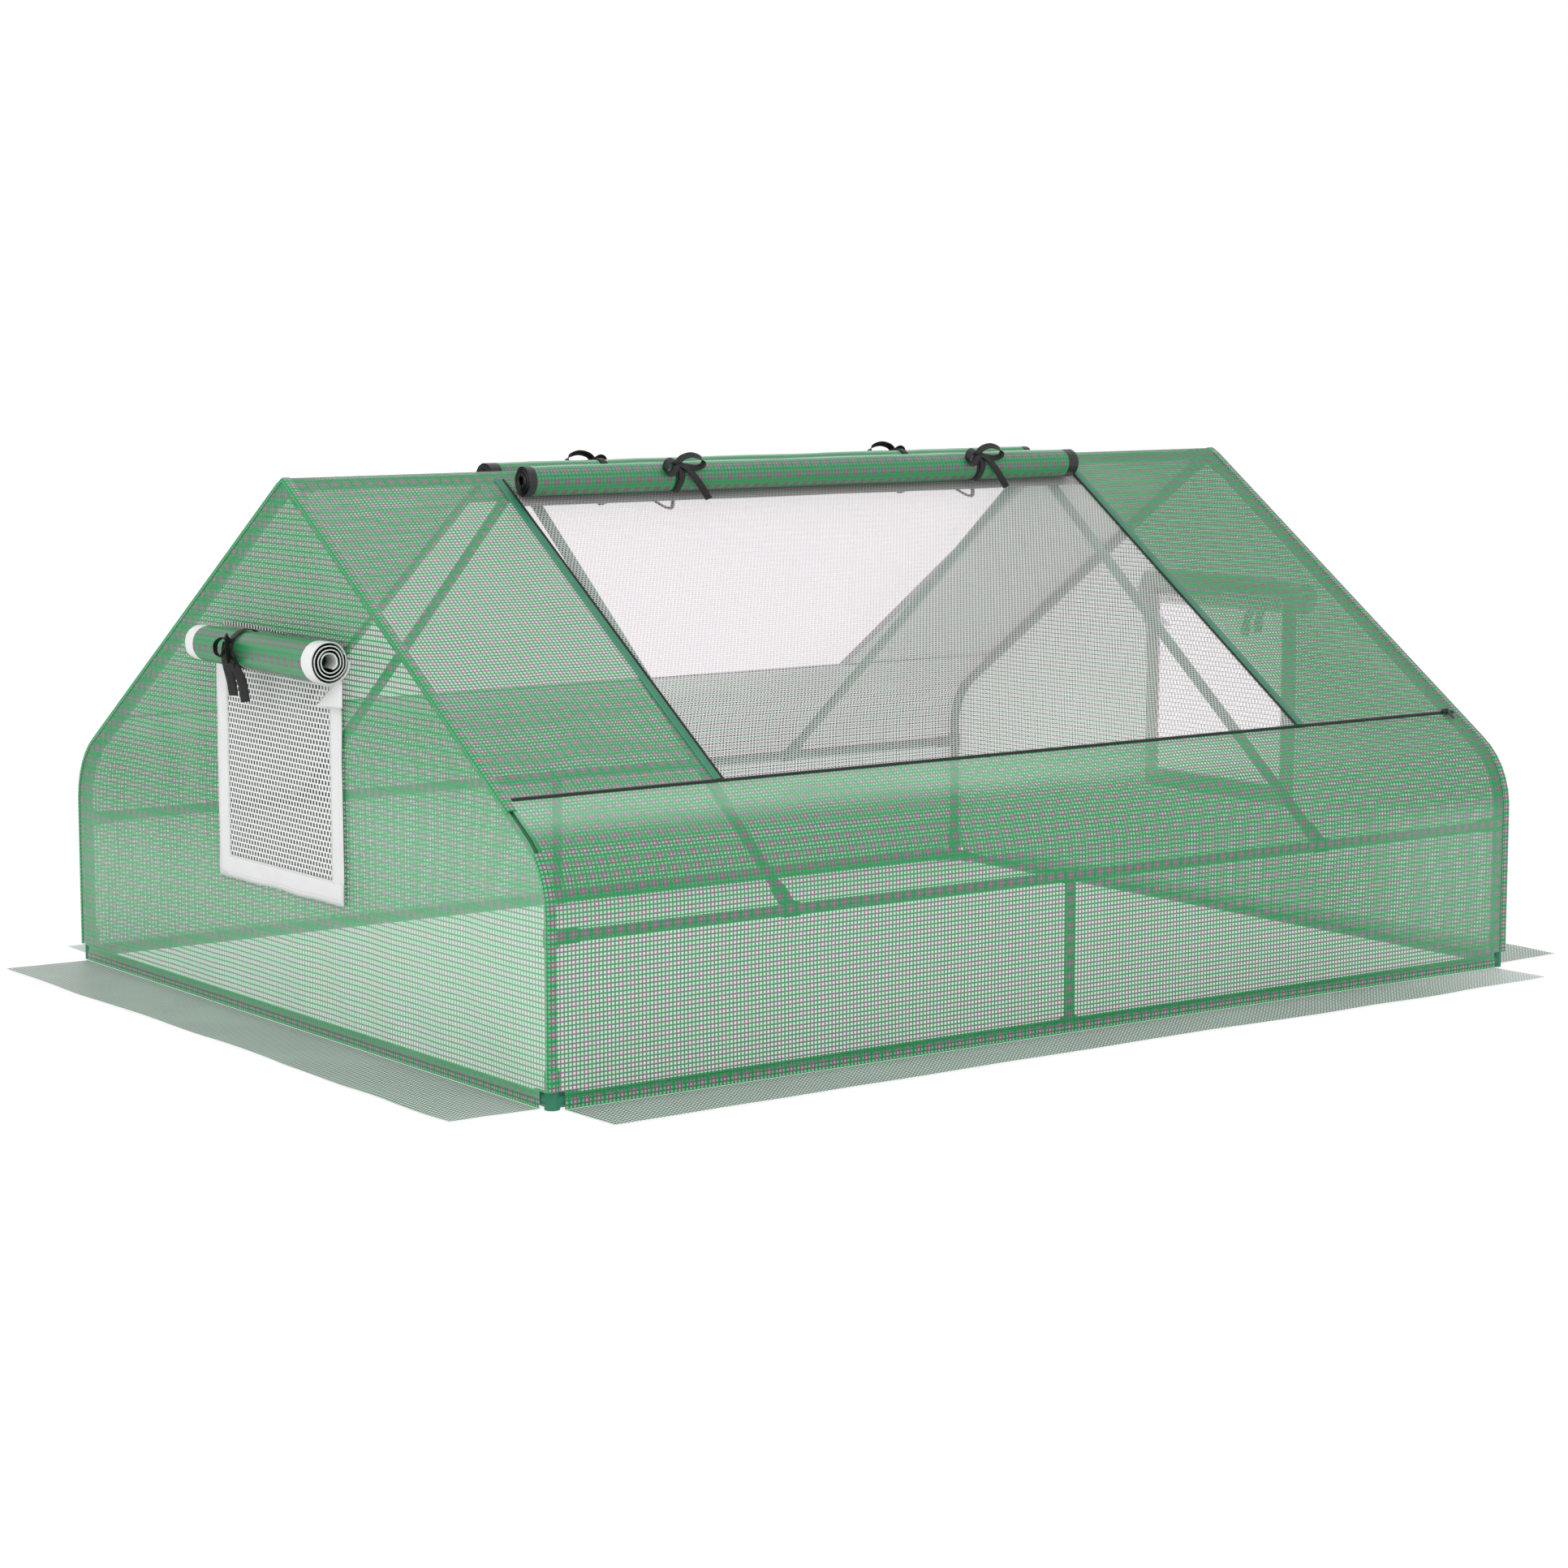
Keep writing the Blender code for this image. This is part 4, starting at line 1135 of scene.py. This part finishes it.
def roll_surface(name, base, ends, radius, core, turns, ties, thickness, step, flare=0.0):
    """A sheet wound into a roll about local X of base, and the length of cloth in it.

    base is the frame of the roll's axis: local Y points back along the sheet to where it is sewn. The
    outer end of the cloth leaves at the bottom. flare is how much wider the roll is at its high end.
    """
    per_turn = 32
    pitch = (radius - core) / turns
    angles = [number * 2 * pi / per_turn for number in range(int(turns * per_turn) + 1)]
    lengths = [0.0]
    for first, second in zip(angles, angles[1:]):
        middle = radius - pitch * (first + second) / (4 * pi)
        lengths.append(lengths[-1] + middle * (second - first))
    order = dict(zip(lengths, angles))
    low, high = ends

    def place(x, length):
        angle = order[length]
        turn = angle / (2 * pi)
        share = (x - low) / (high - low)
        around = Vector((0, cos(angle), sin(angle)))
        pinch = sum(exp(-((x - tie) / 0.016) ** 2) for tie in ties)
        size = (radius - pitch * turn) * (1 + flare * share) * (1 - 0.055 * pinch)
        size += 0.0009 * noise.noise(around * 1.3 + Vector((x * 9, 0, 4 * radius)))
        size += 0.0005 * noise.noise(around * 3 + Vector((x * 30, 0, 0)))
        out = 0.0026 * wave(turn * 1.7, 8.8, radius * 50) + 0.0007 * (turns - turn)
        x += 0.8 * out * ((1 - share) ** 12 - share ** 12)
        return base @ Vector((x, -size * sin(angle), -size * cos(angle)))

    stops = [tie + side for tie in ties for side in (-0.016, 0.016)]
    us = stations(low, high, step, low + 0.004, high - 0.004, *stops)
    return thicken(grid_piece(name, us, lengths, place), thickness), lengths[-1] * (1 + flare / 2)


def ribbon(name, points, facings, width, thickness=0.0008, steps=6):
    """A flat ribbon along a smooth curve through points. Each facing is the way its flat side looks."""
    points = [Vector(point) for point in points]
    facings = [Vector(facing).normalized() for facing in facings]
    line, looks = [], []
    last = len(points) - 1
    for number in range(last):
        before, start = points[max(0, number - 1)], points[number]
        end, after = points[number + 1], points[min(last, number + 2)]
        for step in range(steps + (number == last - 1)):
            t = step / steps
            bend = (2 * before - 5 * start + 4 * end - after) * t ** 2
            turn = (3 * start - before - 3 * end + after) * t ** 3
            line.append(0.5 * (2 * start + (end - before) * t + bend + turn))
            looks.append(facings[number].lerp(facings[number + 1], t))
    lengths = [0.0]
    for first, second in zip(line, line[1:]):
        lengths.append(lengths[-1] + (second - first).length)
    sides = []
    for number, point in enumerate(line):
        along = (line[min(number + 1, len(line) - 1)] - line[max(number - 1, 0)]).normalized()
        sides.append(along.cross(looks[number]).normalized())
    where = {length: number for number, length in enumerate(lengths)}

    def place(across, length):
        number = where[length]
        cup = looks[number] * (-0.0005 * (2 * across / width) ** 2)
        return line[number] + sides[number] * across + cup

    us = [width * k / 4 - width / 2 for k in range(5)]
    return thicken(grid_piece(name, us, lengths, place), thickness)


def band_round(name, base, radius, width):
    """A ribbon closed round a roll, on local X of base."""
    def place(across, angle):
        size = radius + 0.0004 * cos(3 * angle)
        return base @ Vector((across, size * sin(angle), size * cos(angle)))

    us = [-width / 2, -width / 4, 0, width / 4, width / 2]
    turns = [2 * pi * number / 40 for number in range(41)]
    return thicken(grid_piece(name, us, turns, place, uv=lambda u, v: (u, v * radius)), 0.0008)


def knot(name, base, size):
    """A pulled-tight knot: a rounded lump with a waist where the ribbon crosses it."""
    angles = [2 * pi * k / 20 for k in range(21)]
    rises = [pi * (k / 12 - 0.5) for k in range(13)]

    def place(turn, rise):
        ring = cos(rise) ** 0.6 if cos(rise) > 1e-6 else 0.0
        waist = 1 - 0.16 * exp(-(rise / 0.35) ** 2)
        ridge = 1 + 0.06 * cos(4 * turn + 2 * rise)
        x = size[0] / 2 * sin(rise)
        y = size[1] / 2 * ring * waist * ridge * cos(turn)
        z = size[2] / 2 * ring * waist * ridge * sin(turn)
        return base @ Vector((x, y, z))

    return grid_piece(name, angles, rises, place, uv=lambda u, v: (u * 0.005, v * 0.005))


def bow(name, axis, radius, knot_angle, width, loops, tails, knot_size):
    """Ribbon round a roll and tied in a bow.

    axis is the frame of the roll's axis at the tie: local X along it, Z out and Y up. Each loop is its
    points and the way across the ribbon, and each tail its points and the way that it faces, or None for
    away from the roll. A point is (along, angle, height), where angle is in degrees from Z towards -Y.
    """
    turn = axis.to_3x3()

    def out(degrees):
        angle = radians(degrees)
        return Vector((0, -sin(angle), cos(angle)))

    def path_of(points):
        return [axis @ (Vector((along, 0, 0)) + out(degrees) * (radius + height))
                for along, degrees, height in points]

    middle = axis @ Matrix.Rotation(radians(knot_angle), 4, "X")
    middle = middle @ Matrix.Translation((0, 0, radius + 0.0032))
    pieces = [band_round("band", axis, radius + BAND_CLEAR, width), knot("knot", middle, knot_size)]
    for points, across in loops:
        path = path_of(points)
        across = (turn @ Vector(across)).normalized()
        ways = [after - before for before, after in zip([path[0], *path], [*path[1:], path[-1]])]
        pieces.append(ribbon("loop", path, [way.normalized().cross(across) for way in ways], width))
    for points, face in tails:
        looks = [turn @ (Vector(face) if face else out(point[1])) for point in points]
        pieces.append(ribbon("tail", path_of(points), looks, width))
    return join(name, pieces)


def door_bow(name, x):
    axis = roof_frame(x, DOOR_ROLL_DOWN, ROLL_LIFT + DOOR_ROLL_RADIUS)
    big = [(0.001, 4, 0.004), (0.010, -4, 0.010), (0.025, -4, 0.014), (0.038, 6, 0.013),
           (0.042, 20, 0.008), (0.033, 27, 0.0045), (0.016, 20, 0.0035), (0.001, 8, 0.0035)]
    small = [(-0.001, 2, 0.004), (-0.010, 0, 0.0075), (-0.021, 10, 0.0085), (-0.027, 28, 0.006),
             (-0.024, 46, 0.0035), (-0.014, 44, 0.003), (-0.006, 26, 0.003), (-0.001, 8, 0.003)]
    straight = [(0.001, 6, 0.0035), (0.003, 30, 0.0030), (0.004, 62, 0.0026), (0.002, 96, 0.0026),
                (0.000, 118, 0.006)]
    slanted = [(0.002, 8, 0.004), (0.013, 30, 0.0060), (0.026, 62, 0.0065), (0.040, 92, 0.0120),
               (0.052, 110, 0.022)]
    across = (0.05, -0.97, -0.22)
    loops, tails = [(big, across), (small, across)], [(straight, None), (slanted, None)]
    return bow(name, axis, DOOR_ROLL_RADIUS, 0, 0.0105, loops, tails, (0.0095, 0.0090, 0.0080))


def window_bow(name):
    axis = wall_frame(WINDOW_TIE_Y, WINDOW_ROLL_Z, GAP + SCREEN + ROLL_LIFT + WINDOW_ROLL_RADIUS)
    left = [(-0.001, -24, 0.004), (-0.010, -28, 0.010), (-0.018, -14, 0.014), (-0.019, 6, 0.013),
            (-0.013, 18, 0.008), (-0.004, 2, 0.005), (0.0, -14, 0.004)]
    right = [(0.001, -26, 0.004), (0.008, -30, 0.010), (0.015, -14, 0.014), (0.017, 14, 0.013),
             (0.013, 30, 0.009), (0.005, 8, 0.005), (0.0, -12, 0.004)]
    first = [(-0.001, -20, 0.005), (-0.003, 12, 0.006), (-0.006, 40, 0.010), (-0.010, 66, 0.024),
             (-0.012, 76, 0.042)]
    second = [(0.001, -18, 0.004), (0.004, 14, 0.004), (0.008, 44, 0.006), (0.013, 70, 0.020),
              (0.017, 80, 0.048)]
    across, face = (0.62, 0.15, 0.75), (0.55, 0.0, 0.83)
    loops, tails = [(left, across), (right, across)], [(first, face), (second, face)]
    return bow(name, axis, WINDOW_ROLL_RADIUS, 18, 0.0150, loops, tails, (0.012, 0.011, 0.010))


def make_door_rolls():
    base = roof_frame(0, DOOR_ROLL_DOWN, ROLL_LIFT + DOOR_ROLL_RADIUS - 0.0006)
    ends = (DOOR_ROLL_ENDS[0] + 0.008, DOOR_ROLL_ENDS[1])
    roll, wound = roll_surface("front_door_roll_cloth", base, ends, DOOR_ROLL_RADIUS + 0.0006,
                               0.0065, 6.4, DOOR_TIES, 0.0010, 0.028)
    soft = [both(roll, "front_door", "door_roll", "roll", "front_door_roll")]
    for label, x in zip(("left", "right"), DOOR_TIES):
        tie = door_bow(f"front_door_bow_{label}", x)
        soft.append(both(tie, "front_door", "ribbon", "ribbon", f"front_door_tie_{label}"))
    return soft, (ends[1] - ends[0], wound)


def make_window_rolls():
    base = wall_frame(0, WINDOW_ROLL_Z, GAP + SCREEN + ROLL_LIFT + WINDOW_ROLL_RADIUS - 0.0006)
    ends = (-WINDOW_ROLL_ENDS[1], -WINDOW_ROLL_ENDS[0])
    roll, wound = roll_surface("left_window_roll_cloth", base, ends, WINDOW_ROLL_RADIUS - 0.0006,
                               0.0090, 4.2, (-WINDOW_TIE_Y,), 0.0018, 0.020, flare=0.18)
    soft = [both(roll, "left_window", "window_roll", "roll", "left_window_roll")]
    soft.append(both(window_bow("left_window_bow"), "left_window", "ribbon", "ribbon", "left_window_tie"))
    return soft, (ends[1] - ends[0], wound)


def make_panels():
    """The unrolled part of each door and window, which grows as the roll comes down."""
    start, end = DOOR_TOP - 0.006, DOOR_ROLL_DOWN
    half = DOOR_HALF - 0.001
    top, low = WINDOW_Z[1] + 0.022, WINDOW_ROLL_Z
    low_u, high_u = -WINDOW_ROLL_ENDS[1] + 0.012, -WINDOW_ROLL_ENDS[0] - 0.012

    def door_panel(x, share):
        return cover_point(x, along_at(start + (end - start) * share), 0.0012 + 0.0012 * smooth_step(share))

    def window_panel(u, share):
        return -LENGTH / 2 - 0.0030, -u, top + (low - top) * share

    door_line = [cover_point(0, along_at(down)) for down in (start, end)]
    window_line = [Vector((-LENGTH / 2, 0, z)) for z in (top, low)]
    made = []
    for word, us, place, flat, line, looks in (
        ("front_door", stations(-half, half, 0.03), door_panel, (2 * half, end - start), door_line,
         ("front_door", "back_door")),
        ("left_window", stations(low_u, high_u, 0.02), window_panel, (high_u - low_u, top - low), window_line,
         ("window", "window")),
    ):
        panel = grid_piece(f"{word}_panel", us, [1 - number / 40 for number in range(41)], place)
        twin = link(opposite(panel.name), panel.data.copy())
        twin.data.transform(TURN)
        ways = ((panel, word, line), (twin, opposite(word), [TURN @ point for point in line]))
        for (piece, body, points), look in zip(ways, looks):
            piece.data.materials.append(materials[look])
            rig.slot(piece, "cover")
            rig.blend(piece, "root", body, *points)
            made.append((piece, flat))
    return made


def make_headers():
    """The turned-in cloth along the top of each door, and the ribbon loops that hang inside the mesh."""
    depth = -SHEET - 2 * GAP - SCREEN - 0.0045
    half = DOOR_HALF + SCREEN_LAP
    out = (0, -sin(ROOF_RISE), cos(ROOF_RISE))

    def header(x, down):
        ripple = 0.0006 * wave(x * 11, down * 40, 5.0)
        hang = 0.002 * wave(x * 6, 1, 1) if down > 0.05 else 0.0
        return cover_point(x, along_at(down + hang), depth + ripple)

    vs = stations(0.024, HEADER_DOWN, 0.01)[::-1]
    both(grid_piece("front_door_header", stations(-half, half, 0.02), vs, header), "root", "header", "cover")
    for label, x in zip(("left", "right"), DOOR_TIES):
        path = []
        for number in range(9):
            share = number / 8
            down = HEADER_DOWN - 0.004 + 0.020 * sin(pi * share)
            path.append(cover_point(x - 0.028 + 0.034 * share, along_at(down), depth - 0.0014))
        loop = ribbon(f"front_inner_ribbon_{label}", path, [out] * len(path), 0.0060, steps=3)
        both(loop, "root", "ribbon", "ribbon")


def make_window_corner():
    """The white corner of the window's flap that hangs out under the near end of its roll."""
    near = -WINDOW_ROLL_ENDS[0] - 0.004

    def place(u, share):
        curl = 0.006 * smooth_step(share) * sin(pi * (0.2 + 0.6 * u))
        x = -LENGTH / 2 - 0.0075 - curl - 0.004 * (1 - share)
        return x, 0.075 * u * (0.06 + 0.94 * share) - near, WINDOW_ROLL_Z - 0.020 - 0.046 * share - 0.003 * u

    steps = [number / 12 for number in range(13)]
    corner = grid_piece("left_window_corner", steps, steps, place, uv=lambda u, v: (u * 0.04, v * 0.03))
    return both(thicken(corner, 0.0008), "left_window", "lining", "roll")


def flatten(pairs, joint, axis, anchor, keep):
    """Each roll and what rides with it get thinner as the cloth leaves the roll."""
    for near, far in pairs:
        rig.squash(near, joint, axis=tuple(axis), anchor=tuple(anchor), keep=keep)
        turned = {"axis": tuple(TURN.to_3x3() @ axis), "anchor": tuple(TURN @ anchor)}
        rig.squash(far, opposite(joint), **turned, keep=keep)


# Ground flaps


def make_flaps():
    """Strips on the ground, with a soft fold at the hem and a slightly wavy outer edge."""
    shares = [0, 0.02, 0.05, 0.1, 0.2, 0.32, 0.44, 0.56, 0.68, 0.8, 0.9, 1.0]
    hinge = COVER_OFFSET + 0.0012
    made = []
    for side, reach, width, place in (
        ("front", FRAME_X, SIDE_FLAP_WIDTH - 0.002, lambda u, out, lift: (u, -FRAME_Y - hinge - out, lift)),
        ("left", FRAME_Y, END_FLAP_WIDTH - 0.002, lambda u, out, lift: (-FRAME_X - hinge - out, -u, lift)),
    ):
        def flap(u, share, width=width, place=place):
            sway = 0.010 * wave(u * 2.3, width * 10, 1.5)
            sway += 0.003 * wave(u * 9, 3, 2)
            out = share * (width + sway)
            return place(u, out, 0.0004 + 0.012 * out * (1 + wave(u * 6, out * 20, 9.0)))

        half = reach + COVER_OFFSET - CORNER_NOTCH
        us = stations(-half, half, 0.015)
        piece = grid_piece(f"{side}_flap_cloth", us, shares[::-1], flap,
                           uv=lambda u, share, width=width: (u, share * width))
        pair = both(piece, f"{side}_flap", "flap", "flap", f"{side}_ground_flap")
        made += [(cloth, (2 * half, width)) for cloth in pair]
    return made


def dress_frame():
    """The CAD's own tubes and connectors keep their shape and get their paint and plastic."""
    tubes = ("hip_tube", "base_rail", "mid_rail_front", "mid_rail_back", "mid_post", "ridge_pole",
             "rafter_front", "rafter_back")
    for name, node in nodes.items():
        if not node.hide_render:
            node.data.materials.clear()
            node.data.materials.append(materials["paint" if name.startswith(tubes) else "plastic"])


make_camera()
make_materials()
make_studio()
cover, cover_flat, cover_area, cover_rests = make_cover()
gables, gable_flat, gable_area = make_gable()
hips, hems = make_bindings()
zips, bindings = make_zips()
make_sliders()
roof_meshes, roof_flat = make_roof_meshes()
nets, net_flat, borders = make_window_meshes()
door_soft, door_flat = make_door_rolls()
window_soft, window_flat = make_window_rolls()
panels = make_panels()
make_headers()
window_soft.append(make_window_corner())
flaps = make_flaps()
dress_frame()

slope_out = Vector((0, -sin(ROOF_RISE), cos(ROOF_RISE)))
slope_foot = cover_point(0, along_at(DOOR_ROLL_DOWN), ROLL_LIFT)
wall_foot = Vector((-LENGTH / 2 - GAP - SCREEN - ROLL_LIFT, 0, WINDOW_ROLL_Z))
flatten(door_soft, "front_door_drop", slope_out, slope_foot, 0.30)
flatten(window_soft, "left_window_drop", Vector((-1, 0, 0)), wall_foot, 0.35)

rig.sheet(cover, flat=cover_flat, held="stretched", rests_on=cover_rests, area=cover_area,
         with_pieces=[*hips, *bindings, *hems, *zips])
for gable, side in zip(gables, ("left", "right")):
    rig.sheet(gable, flat=gable_flat, held="stretched", rests_on=[f"hip_tube_front_{side}"], area=gable_area)
for mesh in roof_meshes:
    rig.sheet(mesh, flat=roof_flat, held="stretched", rests_on=["side_and_roof_cover"])
for net, border, side in zip(nets, borders, ("left", "right")):
    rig.sheet(net, flat=net_flat, held="stretched", rests_on=[f"{side}_gable_cover"], with_pieces=[border])
for soft, flat, under in (
    (door_soft, door_flat, ("front_roof_mesh", "back_roof_mesh")),
    (window_soft, window_flat, ("left_window_mesh", "right_window_mesh")),
):
    for (roll, *others), name in zip(zip(*soft), under):
        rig.sheet(roll, flat=flat, held="gathered", rests_on=[name], with_pieces=others)
for held, sheets in (("hung", panels), ("laid", flaps)):
    for piece, flat in sheets:
        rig.sheet(piece, flat=flat, held=held, rests_on=["side_and_roof_cover"])

bounds = {"cad": [list(corner) for corner in cad_bounds], "visual": [list(corner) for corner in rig.bounds()]}
with open("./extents.json", "w") as file:
    json.dump(bounds, file)
